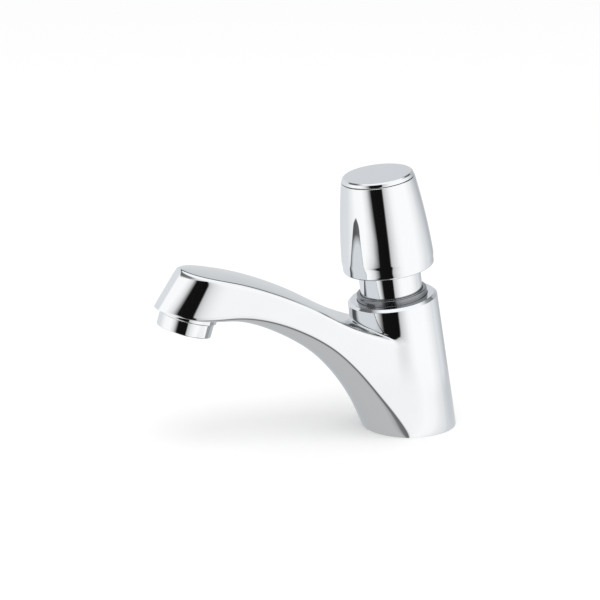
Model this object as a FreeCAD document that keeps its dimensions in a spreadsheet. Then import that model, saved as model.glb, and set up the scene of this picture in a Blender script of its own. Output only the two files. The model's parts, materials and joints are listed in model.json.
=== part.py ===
import FreeCAD, Part
import math
import os
import re
import Sketcher
from FreeCAD import Placement, Rotation, Vector

# A self-closing basin tap. The deck is the plane z = 0, the spout points along -Y,
# and the knob, the cartridge and the body's bore share one axis that leans forward.
# "Along" in a name below is a distance up that leaning axis from the deck.

SIZES = {
    # Leaning column of the body
    "lean": 7.8,
    "base_radius": 23.0,
    "rim_radius": 21.4,
    "rim_along": 65.4,
    "rim_bevel": 1.3,
    # Flat sides of the spout, which run off the column and close in forwards and upwards
    "side_width": 22.95,
    "side_taper": 0.0548,
    "side_draft": 0.0275,
    # Nose and outlet of the spout
    "nose_slope": 33.0,
    "nose_reach": 126.5,
    "nose_height": 70.3,
    "nose_flat": 0.6,
    "fan_reach": 108.0,
    "block_height": 110.0,
    "block_margin": 8.5,
    "top_crown": 0.8,
    "spout_edge": 2.2,
    "belly_edge": 3.0,
    "seam_edge": 0.8,
    "outlet_tilt": 16.3,
    "outlet_reach": 113.0,
    "outlet_height": 58.2,
    "collar_radius": 13.9,
    "collar_drop": 0.8,
    # Bores inside the body
    "valve_floor_along": 12.5,
    "valve_bore_radius": 10.5,
    "seat_along": 28.0,
    "cartridge_radius": 13.9,
    "shoulder_along": 53.0,
    "socket_depth": 9.0,
    "inlet_radius": 6.5,
    "waterway_radius": 6.3,
    "outlet_pocket_radius": 8.0,
    "outlet_pocket_depth": 19.0,
    "foot_width": 3.5,
    "gasket_thickness": 2.5,
    # Clearances
    "fit": 0.1,
    "running_fit": 0.05,
    "seal_gap": 0.03,
    # Guide sleeve and its ring nut
    "neck_radius": 14.8,
    "neck_top_along": 90.0,
    "sleeve_flange": 3.5,
    "sleeve_flange_radius": 16.4,
    "nut_radius": 16.75,
    "nut_rise": 4.5,
    "spring_pocket_radius": 12.0,
    "spring_floor_along": 76.0,
    "bush_radius": 6.5,
    "gland_radius": 6.0,
    "neck_chamfer": 0.6,
    "bush_length": 9.0,
    # Cartridge
    "seat_thickness": 4.0,
    "seat_bore_radius": 5.2,
    "seat_lip": 0.8,
    "seat_lip_width": 1.0,
    "chamber_radius": 10.8,
    "chamber_floor_along": 37.5,
    "chamber_floor": 2.0,
    "relief_depth": 1.4,
    "window_width": 6.0,
    "window_count": 4,
    "foot_height": 1.2,
    "land_height": 5.0,
    "seal_wire": 0.95,
    "seal_thickness": 1.5,
    # Push group
    "push_travel": 7.0,
    "spindle_radius": 4.0,
    "rod_radius": 3.0,
    "rod_tip": 0.4,
    "piston_rest": 0.5,
    "piston_thickness": 3.2,
    "piston_radius": 10.4,
    "cup_thickness": 1.2,
    "cup_lip": 0.6,
    "cup_drop": 0.7,
    "washer_thickness": 2.9,
    "washer_radius": 7.4,
    "holder_thickness": 3.0,
    "valve_nut_thickness": 2.5,
    "valve_nut_flats": 8.0,
    "holder_radius": 8.3,
    "circlip_thickness": 0.8,
    "circlip_root": 2.5,
    "circlip_radius": 5.0,
    "hub_radius": 7.0,
    "hub_along": 108.0,
    "spring_cup_thickness": 1.2,
    "spring_cup_radius": 11.0,
    "cup_spigot": 1.5,
    "spring_radius": 9.5,
    "spring_wire": 0.8,
    "spring_turns": 7,
    # Push knob
    "knob_along": 80.1,
    "knob_foot_radius": 21.65,
    "knob_foot_round": 0.5,
    "knob_belly_along": 86.0,
    "knob_belly_radius": 21.85,
    "knob_middle_along": 105.0,
    "knob_middle_radius": 20.2,
    "knob_top_along": 123.65,
    "knob_top_radius": 17.45,
    "knob_wall": 2.0,
    "knob_deck": 2.2,
    "disc_height": 2.2,
    "disc_radius": 17.3,
    "disc_bevel": 0.6,
    "disc_skirt": 2.0,
    "disc_web": 1.5,
    "disc_seam": 0.15,
    "screw_radius": 2.0,
    "screw_length": 12.0,
    "screw_head_radius": 4.5,
    "screw_head": 2.4,
    # Outlet pieces
    "aerator_radius": 13.0,
    "aerator_drop": 7.5,
    "aerator_thread_radius": 11.4,
    "aerator_thread": 5.5,
    "aerator_bore_radius": 10.0,
    "aerator_lip": 1.5,
    "aerator_lip_radius": 8.8,
    "aerator_bevel": 0.5,
    "insert_height": 9.0,
    "insert_plate": 3.0,
    "screen_thickness": 0.5,
    "screen_hole_radius": 0.7,
    "insert_hole_radius": 0.75,
    "insert_pitch": 2.15,
    # Inlet and fixings under the deck
    "thread_radius": 10.4775,
    "tail_length": 58.0,
    "tail_washer": 1.0,
    "filter_radius": 8.2,
    "filter_rim": 1.5,
    "filter_depth": 9.0,
    "filter_wall": 0.8,
    "filter_cup_radius": 7.2,
    "filter_slot": 1.2,
    "filter_slots": 12,
    "thread_chamfer": 0.8,
    "thread_lead": 6.0,
    "thread_depth": 1.1,
    "thread_land": 0.8,
    "thread_root": 0.8,
    "ring_pitch": 3.0,
    "ring_count": 16,
    "fixing_gap": 0.25,
    "deck_thickness": 26.0,
    "fixing_radius": 21.5,
    "rubber_thickness": 3.0,
    "plate_thickness": 1.5,
    "backnut_height": 9.0,
    "backnut_flats": 27.0,
}

# The belly under the spout, as planes that fan out from a line under the nose. Each has
# (angle up from the deck, distance to the belly's middle, distance to its two corners).
BELLY = (
    (0.0, 85.0, 100.5),
    (12.0, 79.3, 88.5),
    (24.0, 74.5, 81.6),
    (36.0, 70.8, 76.6),
    (48.0, 67.2, 71.2),
    (60.0, 65.2, 68.0),
    (75.0, 63.8, 65.8),
    (90.0, 61.8, 63.6),
    (102.0, 63.5, 65.5),
)
# The ridge line along the top of the spout, as (reach, height) from the column outwards
TOP = (
    (-2.0, 41.6),
    (12.0, 47.8),
    (22.0, 51.9),
    (32.0, 55.4),
    (42.0, 60.5),
    (52.0, 66.7),
    (62.0, 71.8),
    (72.0, 76.3),
    (84.0, 80.8),
    (98.0, 84.8),
    (113.0, 87.9),
    (130.0, 90.6),
)
# The waterway's middle line, as (reach, height) from the cartridge to the outlet
WATERWAY = ((10.0, 36.8), (43.0, 48.5), (66.0, 63.0), (92.0, 73.0), (106.5, 75.0))
for number, (reach, height) in enumerate(WATERWAY):
    SIZES[f"water_reach_{number}"] = reach
    SIZES[f"water_height_{number}"] = height
for number, (angle, middle, corner) in enumerate(BELLY):
    SIZES[f"belly_angle_{number}"] = angle
    SIZES[f"belly_middle_{number}"] = middle
    SIZES[f"belly_corner_{number}"] = corner
for number, (reach, height) in enumerate(TOP):
    SIZES[f"top_reach_{number}"] = reach
    SIZES[f"top_height_{number}"] = height

# How finely the two smooth surfaces are laid out, and how far they run past the sides
BELLY_STATIONS = 16
BELLY_STEPS = 4
TOP_STATIONS = 16
TOP_STEPS = 2
SIDE_OVERRUN = 1.5
COLUMN_SINK = 4.0
HOLE_RINGS = 3

doc = FreeCAD.newDocument("basin_tap")
sheet = doc.addObject("Spreadsheet::Sheet", "sizes")
for row, (alias, value) in enumerate(SIZES.items(), 1):
    sheet.set(f"A{row}", alias)
    sheet.set(f"B{row}", str(value))
    sheet.setAlias(f"B{row}", alias)
doc.recompute()

PARTS = {}


def bound(text):
    """Turn a formula in size names into one that reads the sheet's cells."""
    return re.sub(r"[a-z][a-z_0-9]*", lambda m: "sizes." + m[0] if m[0] in SIZES else m[0], text)


def number_of(text):
    """The present value of a formula in size names."""
    return float(sheet.evalExpression(bound(text)))


def bind(item, path, text):
    item.setExpression(path, bound(text))


def keep(item, label):
    """Name a finished sub-part, which also names its file."""
    item.Label = label
    PARTS[label] = item
    return item


def origin_plane(body, role):
    """One of a body's own origin planes, found by its role."""
    return next(f for f in body.Origin.OriginFeatures if f.Role == role)


def new_sketch(body, role, name):
    sketch = body.newObject("Sketcher::SketchObject", name)
    sketch.AttachmentSupport = (origin_plane(body, role), [""])
    sketch.MapMode = "FlatFace"
    return sketch


def fix_point(sketch, line, end, across, up):
    """Bind one end of a line to its two coordinates, each a formula in size names."""
    for kind, axis, text in (("DistanceX", -2, across), ("DistanceY", -1, up)):
        value = number_of(text)
        if abs(value) < 1e-9:
            sketch.addConstraint(Sketcher.Constraint("PointOnObject", line, end, axis))
            continue
        index = sketch.addConstraint(Sketcher.Constraint(kind, -1, 1, line, end, value))
        bind(sketch, f"Constraints[{index}]", text)


def outline(sketch, points, bows=None):
    """A closed outline through points given as pairs of formulas.

    A side is straight unless bows gives the point that its arc passes through.
    """
    bows = bows or {}
    places = [Vector(number_of(x), number_of(y), 0) for x, y in points]
    count = len(points)
    ends = []
    for i in range(count):
        start, end = places[i], places[(i + 1) % count]
        order = (1, 2)
        side = Part.LineSegment(start, end)
        if i in bows:
            through = Vector(number_of(bows[i][0]), number_of(bows[i][1]), 0)
            if (through - start).cross(end - through).z < 0:
                order = (2, 1)
                start, end = end, start
            side = Part.ArcOfCircle(start, through, end)
        sketch.addGeometry(side, False)
        ends.append(order)
    for i in range(count):
        following = (i + 1) % count
        sketch.addConstraint(
            Sketcher.Constraint("Coincident", i, ends[i][1], following, ends[following][0])
        )
    for i, (x, y) in enumerate(points):
        fix_point(sketch, i, ends[i][0], x, y)
    for i, (x, y) in bows.items():
        mark = sketch.addGeometry(Part.Point(Vector(number_of(x), number_of(y), 0)), True)
        sketch.addConstraint(Sketcher.Constraint("PointOnObject", mark, 1, i))
        fix_point(sketch, mark, 1, x, y)


def lean_placement(item, along="0"):
    """Put an item on the leaning axis, the given distance up it."""
    item.Placement = Placement(Vector(), Rotation(Vector(1, 0, 0), number_of("lean")))
    bind(item, "Placement.Rotation.Angle", "lean")
    bind(item, "Placement.Base.y", f"-({along}) * sin(lean)")
    bind(item, "Placement.Base.z", f"({along}) * cos(lean)")


def outlet_placement(item):
    """Put an item on the outlet's axis, with its zero at the outlet's lower face."""
    item.Placement = Placement(Vector(), Rotation(Vector(-1, 0, 0), number_of("outlet_tilt")))
    bind(item, "Placement.Rotation.Angle", "outlet_tilt")
    bind(item, "Placement.Base.y", "-outlet_reach")
    bind(item, "Placement.Base.z", "outlet_height")


def turned(name, points, bows=None):
    """A body turned about its own Z axis from an outline of (radius, height) formulas."""
    body = doc.addObject("PartDesign::Body", name)
    sketch = new_sketch(body, "XZ_Plane", name + "_outline")
    outline(sketch, points, bows)
    turn = body.newObject("PartDesign::Revolution", name + "_turn")
    turn.Profile = sketch
    turn.ReferenceAxis = (sketch, ["V_Axis"])
    turn.Angle = 360
    doc.recompute()
    return body


def tube_points(inner, outer, low, high):
    """The outline of a plain ring or tube."""
    return [(inner, low), (outer, low), (outer, high), (inner, high)]


def circle_sketch(body, role, name, radius, across="0", up="0", offset="0"):
    """A sketch of one circle, moved off its plane by an offset formula."""
    sketch = new_sketch(body, role, name)
    centre = Vector(number_of(across), number_of(up), 0)
    sketch.addGeometry(Part.Circle(centre, Vector(0, 0, 1), number_of(radius)), False)
    index = sketch.addConstraint(Sketcher.Constraint("Radius", 0, number_of(radius)))
    bind(sketch, f"Constraints[{index}]", radius)
    fix_point(sketch, 0, 3, across, up)
    bind(sketch, "AttachmentOffset.Base.z", offset)
    return sketch


def cell(name):
    """The number in one cell of the sheet."""
    return float(sheet.get(name))


def side_width(reach, height):
    """Half the width between the spout's flat sides at a reach and a height."""
    return cell("side_width") - cell("side_taper") * reach - cell("side_draft") * height


def surface_block(name, rows, push):
    """A block under or over a smooth surface through rows of points, pushed from it."""
    surface = Part.BSplineSurface()
    surface.interpolate(rows)
    block = doc.addObject("Part::Feature", name)
    block.Shape = surface.toShape().extrude(push)
    return block


def belly_cutter():
    """What lies under the belly: a bow at each station between its two corner lines."""
    fan = cell("fan_reach")
    middles, corners = [], []
    for i in range(len(BELLY)):
        angle = math.radians(cell(f"belly_angle_{i}"))
        for line, name in ((middles, "middle"), (corners, "corner")):
            away = cell(f"belly_{name}_{i}")
            reach, height = fan - away * math.cos(angle), away * math.sin(angle)
            line.append(Vector(0, -reach, height))
    paths = []
    for line in (middles, corners):
        path = Part.BSplineCurve()
        path.interpolate(line)
        paths.append(path.discretize(Number=BELLY_STATIONS))
    rows = []
    for low, edge in zip(*paths):
        wide = side_width(-edge.y, edge.z)
        side = Vector(wide, edge.y, edge.z)
        bow = Part.Arc(Vector(-side.x, side.y, side.z), low, side).toShape().Curve
        span = math.asin(min((wide + SIDE_OVERRUN) / bow.Radius, 0.997))
        inward = (edge - low).normalize()
        centre = low + inward * bow.Radius
        row = []
        for step in range(-BELLY_STEPS, BELLY_STEPS + 1):
            turn = span * step / BELLY_STEPS
            across = Vector(1, 0, 0) * math.sin(turn) * bow.Radius
            row.append(centre + across - inward * math.cos(turn) * bow.Radius)
        rows.append(row)
    push = cell("fan_reach")
    return surface_block("below_belly", rows, Vector(0, -push, -push))


def top_cutter():
    """What lies over the spout: a surface along the top line, crowned across it."""
    line = [Vector(0, -cell(f"top_reach_{i}"), cell(f"top_height_{i}")) for i in range(len(TOP))]
    path = Part.BSplineCurve()
    path.interpolate(line)
    half = cell("base_radius") + SIDE_OVERRUN
    rows = []
    for point in path.discretize(Number=TOP_STATIONS):
        wide = side_width(-point.y, point.z)
        row = []
        for step in range(-TOP_STEPS, TOP_STEPS + 1):
            across = half * step / TOP_STEPS
            drop = cell("top_crown") * (across / wide) ** 2
            row.append(Vector(across, point.y, point.z - drop))
        rows.append(row)
    return surface_block("over_spout", rows, Vector(0, 0, cell("block_height")))


SEAM_REACH = "(outlet_reach - aerator_drop * sin(outlet_tilt))"
SEAM_HEIGHT = "(outlet_height + aerator_drop * cos(outlet_tilt))"


def seam_at(reach):
    """Height of the outlet's seam plane at a reach."""
    return f"({SEAM_HEIGHT} + (({reach}) - {SEAM_REACH}) * tan(outlet_tilt))"


def nose_at(height):
    """Reach of the nose's sloping front at a height."""
    return f"(nose_reach - (({height}) - nose_height) * tan(nose_slope))"


BLOCK_REACH = "(nose_reach + block_margin)"
# The nose is round in plan but for a narrow flat, so its corners follow the spout's width
NOSE_CORNER = "(side_width - side_taper * nose_reach - side_draft * nose_height - nose_flat)"


def spout_block():
    """A block with the spout's flat sides, sloping nose and slanted outlet face."""
    body = doc.addObject("PartDesign::Body", "spout_block")
    start = "2.5"
    layers = []
    for name, height in (("block_foot", "0"), ("block_head", "block_height")):
        near = f"side_width - side_taper * {start} - side_draft * {height}"
        far = f"side_width - side_taper * {BLOCK_REACH} - side_draft * {height}"
        sketch = new_sketch(body, "XY_Plane", name)
        bind(sketch, "AttachmentOffset.Base.z", height)
        outline(
            sketch,
            [
                (near, f"-{start}"),
                (far, f"-{BLOCK_REACH}"),
                (f"-({far})", f"-{BLOCK_REACH}"),
                (f"-({near})", f"-{start}"),
            ],
        )
        layers.append(sketch)
    loft = body.newObject("PartDesign::AdditiveLoft", "block_sides")
    loft.Profile = layers[0]
    loft.Sections = layers[1:]
    loft.Ruled = True
    doc.recompute()
    behind = "(outlet_reach - collar_radius - 3)"
    low = seam_at("nose_reach")
    above = "(block_height + 5)"
    beyond = f"({BLOCK_REACH} + 20)"
    sketch = new_sketch(body, "YZ_Plane", "nose_outline")
    outline(
        sketch,
        [
            (f"-{behind}", seam_at(behind)),
            (f"-{nose_at(low)}", seam_at(nose_at(low))),
            (f"-{nose_at(above)}", above),
            (f"-{beyond}", above),
            (f"-{beyond}", "-5"),
            (f"-{behind}", "-5"),
        ],
    )
    pocket = body.newObject("PartDesign::Pocket", "nose_cut")
    pocket.Profile = sketch
    pocket.Type = "ThroughAll"
    pocket.Midplane = True
    doc.recompute()
    return body


def cut(name, base, tool):
    item = doc.addObject("Part::Cut", name)
    item.Base = base
    item.Tool = tool
    doc.recompute()
    return item


def fuse(name, items):
    item = doc.addObject("Part::MultiFuse", name)
    item.Shapes = items
    doc.recompute()
    return item


def rounded(name, base, radius, test):
    """Round the edges of an item that pass a test."""
    item = doc.addObject("Part::Fillet", name)
    item.Base = base
    size = number_of(radius)
    edges = [i for i, edge in enumerate(base.Shape.Edges, 1) if test(edge)]
    item.Edges = [(i, size, size) for i in edges]
    doc.recompute()
    return item


def middle_of(edge):
    return edge.valueAt((edge.FirstParameter + edge.LastParameter) / 2)


def column_blank():
    """The round, leaning column, started a little below the deck and bevelled at its rim."""
    foot = f"-{COLUMN_SINK}"
    spread = f"(base_radius + {COLUMN_SINK} * (base_radius - rim_radius) / rim_along)"
    body = turned(
        "column_blank",
        [
            ("0", foot),
            (spread, foot),
            ("rim_radius", "rim_along - rim_bevel"),
            ("rim_radius - rim_bevel", "rim_along"),
            ("0", "rim_along"),
        ],
    )
    lean_placement(body)
    return body


def spout_blank():
    """The spout's outside: flat sides, crowned top, bowed belly and a rounded nose."""
    topped = cut("spout_topped", spout_block(), top_cutter())
    spout = cut("spout_bellied", topped, belly_cutter())
    ahead = -(cell("nose_reach") - number_of(NOSE_CORNER) - cell("outlet_pocket_radius") - 8)
    deck_line = cell("belly_middle_7")

    def nose_corner(edge):
        box = edge.BoundBox
        return middle_of(edge).y < ahead and abs(middle_of(edge).x) > 8 and box.ZLength > 12 > box.XLength

    def top_rim(edge):
        box = edge.BoundBox
        short = box.ZLength < 12
        return box.ZMax > cell("nose_height") + 12 and box.ZMin > 40 and (short or edge.Length > 90)

    def belly_corner(edge):
        return edge.Length > 90 and edge.BoundBox.ZMin < 5

    def nose_foot(edge):
        box = edge.BoundBox
        return box.ZMax < cell("nose_height") + 1 and box.ZMin > deck_line - 1.5 and middle_of(edge).y < ahead

    spout = rounded("nose_rounded", spout, NOSE_CORNER, nose_corner)
    spout = rounded("top_rounded", spout, "spout_edge", top_rim)
    spout = rounded("belly_rounded", spout, "belly_edge", belly_corner)
    return rounded("nose_foot_rounded", spout, "seam_edge", nose_foot)


def collar_blank():
    """A low round collar under the nose that the outlet ring meets."""
    low = "aerator_drop - collar_drop"
    body = turned(
        "collar_blank",
        [
            ("0", low),
            ("collar_radius", low),
            ("collar_radius", "aerator_drop + 4"),
            ("0", "aerator_drop + 4"),
        ],
    )
    outlet_placement(body)
    return body


def below_deck():
    box = doc.addObject("Part::Box", "below_deck")
    for side in ("Length", "Width"):
        bind(box, side, "4 * base_radius")
    bind(box, "Height", "base_radius")
    bind(box, "Placement.Base.x", "-2 * base_radius")
    bind(box, "Placement.Base.y", "-2 * base_radius")
    bind(box, "Placement.Base.z", "-base_radius")
    return box


def upright(name, radius, height):
    """An upright cylinder that stands on the deck plane."""
    item = doc.addObject("Part::Cylinder", name)
    bind(item, "Radius", radius)
    bind(item, "Height", height)
    return item


def cartridge_bore():
    """The stepped bore down the leaning axis, from the rim to the valve's floor."""
    cartridge = "cartridge_radius + fit"
    above = "rim_along + 5"
    body = turned(
        "cartridge_bore",
        [
            ("0", "valve_floor_along"),
            ("valve_bore_radius", "valve_floor_along"),
            ("valve_bore_radius", "seat_along"),
            (cartridge, "seat_along"),
            (cartridge, "shoulder_along"),
            ("nut_radius + fit", "shoulder_along"),
            ("nut_radius + fit", above),
            ("0", above),
        ],
    )
    lean_placement(body)
    return body


def outlet_bore():
    """The outlet's threaded bore and the pocket that the waterway runs into."""
    thread = "aerator_thread_radius + fit"
    step = "aerator_drop - collar_drop + aerator_thread + seal_thickness"
    body = turned(
        "outlet_bore",
        [
            ("0", "0"),
            (thread, "0"),
            (thread, step),
            ("outlet_pocket_radius", step),
            ("outlet_pocket_radius", "outlet_pocket_depth"),
            ("0", "outlet_pocket_depth"),
        ],
    )
    outlet_placement(body)
    return body


def waterway():
    """Straight runs with round elbows, from the cartridge's bore to the outlet's pocket."""
    pieces = []
    for i in range(len(WATERWAY) - 1):
        ahead = f"(water_reach_{i + 1} - water_reach_{i})"
        rise = f"(water_height_{i + 1} - water_height_{i})"
        run = doc.addObject("Part::Cylinder", f"water_run_{i}")
        angle = 90 - math.degrees(math.atan(number_of(rise) / number_of(ahead)))
        run.Placement = Placement(Vector(), Rotation(Vector(1, 0, 0), angle))
        bind(run, "Placement.Rotation.Angle", f"90 deg - atan({rise} / {ahead})")
        bind(run, "Height", f"sqrt({ahead}^2 + {rise}^2)")
        elbow = doc.addObject("Part::Sphere", f"water_elbow_{i}")
        for item in (run, elbow):
            bind(item, "Radius", "waterway_radius")
            bind(item, "Placement.Base.y", f"-water_reach_{i}")
            bind(item, "Placement.Base.z", f"water_height_{i}")
        pieces += [run, elbow]
    return pieces


def make_tap_body():
    outside = fuse("body_outside", [column_blank(), spout_blank(), collar_blank()])
    outside = cut("body_on_deck", outside, below_deck())
    hollows = [
        cartridge_bore(),
        outlet_bore(),
        upright("inlet_passage", "inlet_radius", "valve_floor_along + 3"),
        upright("tail_socket", "thread_radius + fit", "socket_depth"),
        upright("gasket_recess", "base_radius - foot_width", "gasket_thickness"),
    ]
    hollow = fuse("body_hollow", hollows + waterway())
    return keep(cut("tap_body_whole", outside, hollow), "tap_body")


def leaning(label, points, bows=None):
    """A sub-part turned about the leaning axis."""
    body = turned(label, points, bows)
    lean_placement(body)
    return keep(body, label)


def on_outlet(label, points):
    """A sub-part turned about the outlet's axis."""
    body = turned(label, points)
    outlet_placement(body)
    return keep(body, label)


def below(label, points, drop):
    """A sub-part turned about the upright axis, the given distance below the deck."""
    body = turned(label, points)
    bind(body, "Placement.Base.z", f"-({drop})")
    return keep(body, label)


def leaning_seal(label, centre_radius, along):
    """A round sealing ring on the leaning axis."""
    ring = doc.addObject("Part::Torus", label)
    lean_placement(ring, along)
    bind(ring, "Radius1", centre_radius)
    bind(ring, "Radius2", "seal_wire")
    return keep(ring, label)


SEAT_TOP = "(seat_along + seat_thickness)"
PISTON_TOP = "(shoulder_along - piston_rest)"
PISTON_FOOT = f"({PISTON_TOP} - piston_thickness)"
CUP_FOOT = f"({PISTON_FOOT} - cup_thickness)"
WASHER_TOP = "(seat_along - seat_lip - seal_gap)"
WASHER_FOOT = f"({WASHER_TOP} - washer_thickness)"
HOLDER_FOOT = f"({WASHER_FOOT} - holder_thickness)"
VALVE_NUT_FOOT = f"({HOLDER_FOOT} - valve_nut_thickness)"
GROOVE_ROOT = "(cartridge_radius - 2 * seal_wire)"
SEAL_CENTRE = "cartridge_radius + fit - seal_gap - seal_wire"
BUSH_TOP = "(shoulder_along + bush_length)"
GLAND_TOP = f"({BUSH_TOP} + 2 * seal_wire + 2 * fit)"
NUT_FOOT = "(shoulder_along + sleeve_flange)"
KNOB_DECK_TOP = "(knob_top_along - disc_skirt)"
KNOB_DECK_FOOT = f"({KNOB_DECK_TOP} - knob_deck)"
DISC_FOOT = "(knob_top_along + disc_seam)"
SPRING_TOP = "(hub_along - spring_cup_thickness)"
SPRING_RISE = f"({SPRING_TOP} - spring_floor_along - 2 * (spring_wire + seal_gap))"


def groove(radius, centre):
    """Outline points of a seal's groove in an outer wall, from below upwards."""
    half = "(seal_wire + fit)"
    return [
        (radius, f"{centre} - {half}"),
        (GROOVE_ROOT, f"{centre} - {half}"),
        (GROOVE_ROOT, f"{centre} + {half}"),
        (radius, f"{centre} + {half}"),
    ]


def make_valve_seat():
    middle = f"({SEAT_TOP} - seat_thickness / 2)"
    lip_foot = "seat_along - seat_lip"
    lip_edge = "seat_bore_radius + seat_lip_width"
    leaning(
        "valve_seat",
        [
            ("seat_bore_radius", lip_foot),
            (lip_edge, lip_foot),
            (lip_edge, "seat_along"),
            ("cartridge_radius", "seat_along"),
            *groove("cartridge_radius", middle),
            ("cartridge_radius", SEAT_TOP),
            ("seat_bore_radius", SEAT_TOP),
        ],
    )
    leaning_seal("seat_seal", SEAL_CENTRE, middle)


def make_cartridge_housing():
    """The timing chamber's tube: a floor with side windows under it, and a sealed top land."""
    relieved = "cartridge_radius - relief_depth"
    foot_top = f"{SEAT_TOP} + foot_height"
    land = "shoulder_along - land_height"
    middle = "(shoulder_along - land_height / 2)"
    floor_top = "chamber_floor_along + chamber_floor"
    hole = "rod_radius + running_fit"
    housing = leaning(
        "cartridge_housing",
        [
            ("chamber_radius", SEAT_TOP),
            ("cartridge_radius", SEAT_TOP),
            ("cartridge_radius", foot_top),
            (relieved, foot_top),
            (relieved, land),
            ("cartridge_radius", land),
            *groove("cartridge_radius", middle),
            ("cartridge_radius", "shoulder_along"),
            ("chamber_radius", "shoulder_along"),
            ("chamber_radius", floor_top),
            (hole, floor_top),
            (hole, "chamber_floor_along"),
            ("chamber_radius", "chamber_floor_along"),
        ],
    )
    sketch = new_sketch(housing, "XZ_Plane", "window_outline")
    half = "window_width / 2"
    low, high = foot_top + " + 0.3", "chamber_floor_along - 0.3"
    outline(sketch, [(f"-{half}", low), (half, low), (half, high), (f"-{half}", high)])
    pocket_around(housing, sketch, "cartridge_radius + 1", "window_count")
    leaning_seal("housing_seal", SEAL_CENTRE, middle)


def pocket_around(body, sketch, depth, count):
    """Cut a sketch outwards from the axis, then repeat it round the axis."""
    pocket = body.newObject("PartDesign::Pocket", sketch.Name + "_cut")
    pocket.Profile = sketch
    pocket.Reversed = True
    bind(pocket, "Length", depth)
    pattern = body.newObject("PartDesign::PolarPattern", sketch.Name + "_ring")
    pattern.Originals = [pocket]
    pattern.Axis = (origin_plane(body, "Z_Axis"), [""])
    pattern.Angle = 360
    bind(pattern, "Occurrences", count)
    body.Tip = pattern
    doc.recompute()


def make_sleeve():
    """The neck that the knob slides over, with the spring's pocket, the bush and its seal."""
    through = "spindle_radius + 3 * fit"
    leaning(
        "guide_sleeve",
        [
            ("bush_radius", "shoulder_along"),
            ("sleeve_flange_radius", "shoulder_along"),
            ("sleeve_flange_radius", NUT_FOOT),
            ("neck_radius", NUT_FOOT),
            ("neck_radius", "neck_top_along - neck_chamfer"),
            ("neck_radius - neck_chamfer", "neck_top_along"),
            ("spring_pocket_radius", "neck_top_along"),
            ("spring_pocket_radius", "spring_floor_along"),
            (through, "spring_floor_along"),
            (through, GLAND_TOP),
            ("gland_radius", GLAND_TOP),
            ("gland_radius", BUSH_TOP),
            ("bush_radius", BUSH_TOP),
        ],
    )
    bore = "spindle_radius + running_fit"
    leaning("guide_bush", tube_points(bore, "bush_radius - fit / 2", "shoulder_along", BUSH_TOP))
    centre = "spindle_radius + seal_gap + seal_wire"
    leaning_seal("spindle_seal", centre, f"({BUSH_TOP} + seal_wire + fit)")
    nut_top = "rim_along + nut_rise"
    leaning(
        "retaining_nut",
        [
            ("neck_radius + fit", NUT_FOOT),
            ("nut_radius", NUT_FOOT),
            ("nut_radius", f"{nut_top} - neck_chamfer"),
            ("nut_radius - neck_chamfer", nut_top),
            ("neck_radius + fit", nut_top),
        ],
    )


def make_push_group():
    """All that the knob carries down: spindle, piston and valve."""
    hole = "rod_radius + running_fit"
    spindle_top = f"{KNOB_DECK_FOOT} - fit"
    tapped = f"{KNOB_DECK_TOP} - screw_length - 1"
    leaning(
        "spindle",
        [
            ("0", f"{VALVE_NUT_FOOT} - rod_tip"),
            ("rod_radius", f"{VALVE_NUT_FOOT} - rod_tip"),
            ("rod_radius", f"{CUP_FOOT} - circlip_thickness"),
            ("circlip_root", f"{CUP_FOOT} - circlip_thickness"),
            ("circlip_root", CUP_FOOT),
            ("rod_radius", CUP_FOOT),
            ("rod_radius", PISTON_TOP),
            ("spindle_radius", PISTON_TOP),
            ("spindle_radius", spindle_top),
            ("screw_radius + running_fit", spindle_top),
            ("screw_radius + running_fit", tapped),
            ("0", tapped),
        ],
    )
    leaning("timing_piston", tube_points(hole, "piston_radius", PISTON_FOOT, PISTON_TOP))
    lip = "chamber_radius - running_fit"
    leaning(
        "cup_seal",
        [
            (hole, CUP_FOOT),
            ("piston_radius - 2 * cup_lip", CUP_FOOT),
            (f"{lip} - cup_lip", f"{CUP_FOOT} - cup_drop"),
            (lip, f"{CUP_FOOT} - cup_drop"),
            ("piston_radius", PISTON_FOOT),
            (hole, PISTON_FOOT),
        ],
    )
    clip_foot = f"{CUP_FOOT} - circlip_thickness + running_fit"
    clip_root = "circlip_root + running_fit"
    leaning(
        "piston_circlip",
        tube_points(clip_root, "circlip_radius", clip_foot, f"{CUP_FOOT} - 0.01"),
    )
    leaning("valve_washer", tube_points(hole, "washer_radius", WASHER_FOOT, WASHER_TOP))
    rim = f"{WASHER_FOOT} + washer_thickness / 3"
    leaning(
        "valve_holder",
        [
            (hole, HOLDER_FOOT),
            ("holder_radius", HOLDER_FOOT),
            ("holder_radius", rim),
            ("washer_radius + running_fit", rim),
            ("washer_radius + running_fit", WASHER_FOOT),
            (hole, WASHER_FOOT),
        ],
    )
    nut = hexagon("valve_nut", "valve_nut_flats", hole, "valve_nut_thickness")
    lean_placement(nut, VALVE_NUT_FOOT)


def hexagon(label, flats, hole, height):
    """A six-sided nut that stands on its own XY plane."""
    body = doc.addObject("PartDesign::Body", label)
    sketch = new_sketch(body, "XY_Plane", label + "_outline")
    corner = f"{flats} / sqrt(3)"
    outline(sketch, [(f"{corner} * cos({60 * i})", f"{corner} * sin({60 * i})") for i in range(6)])
    pad = body.newObject("PartDesign::Pad", label + "_pad")
    pad.Profile = sketch
    bind(pad, "Length", height)
    doc.recompute()
    circle = circle_sketch(body, "XY_Plane", label + "_bore", hole)
    bore = body.newObject("PartDesign::Pocket", label + "_cut")
    bore.Profile = circle
    bore.Type = "ThroughAll"
    bore.Midplane = True
    doc.recompute()
    return keep(body, label)


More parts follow.
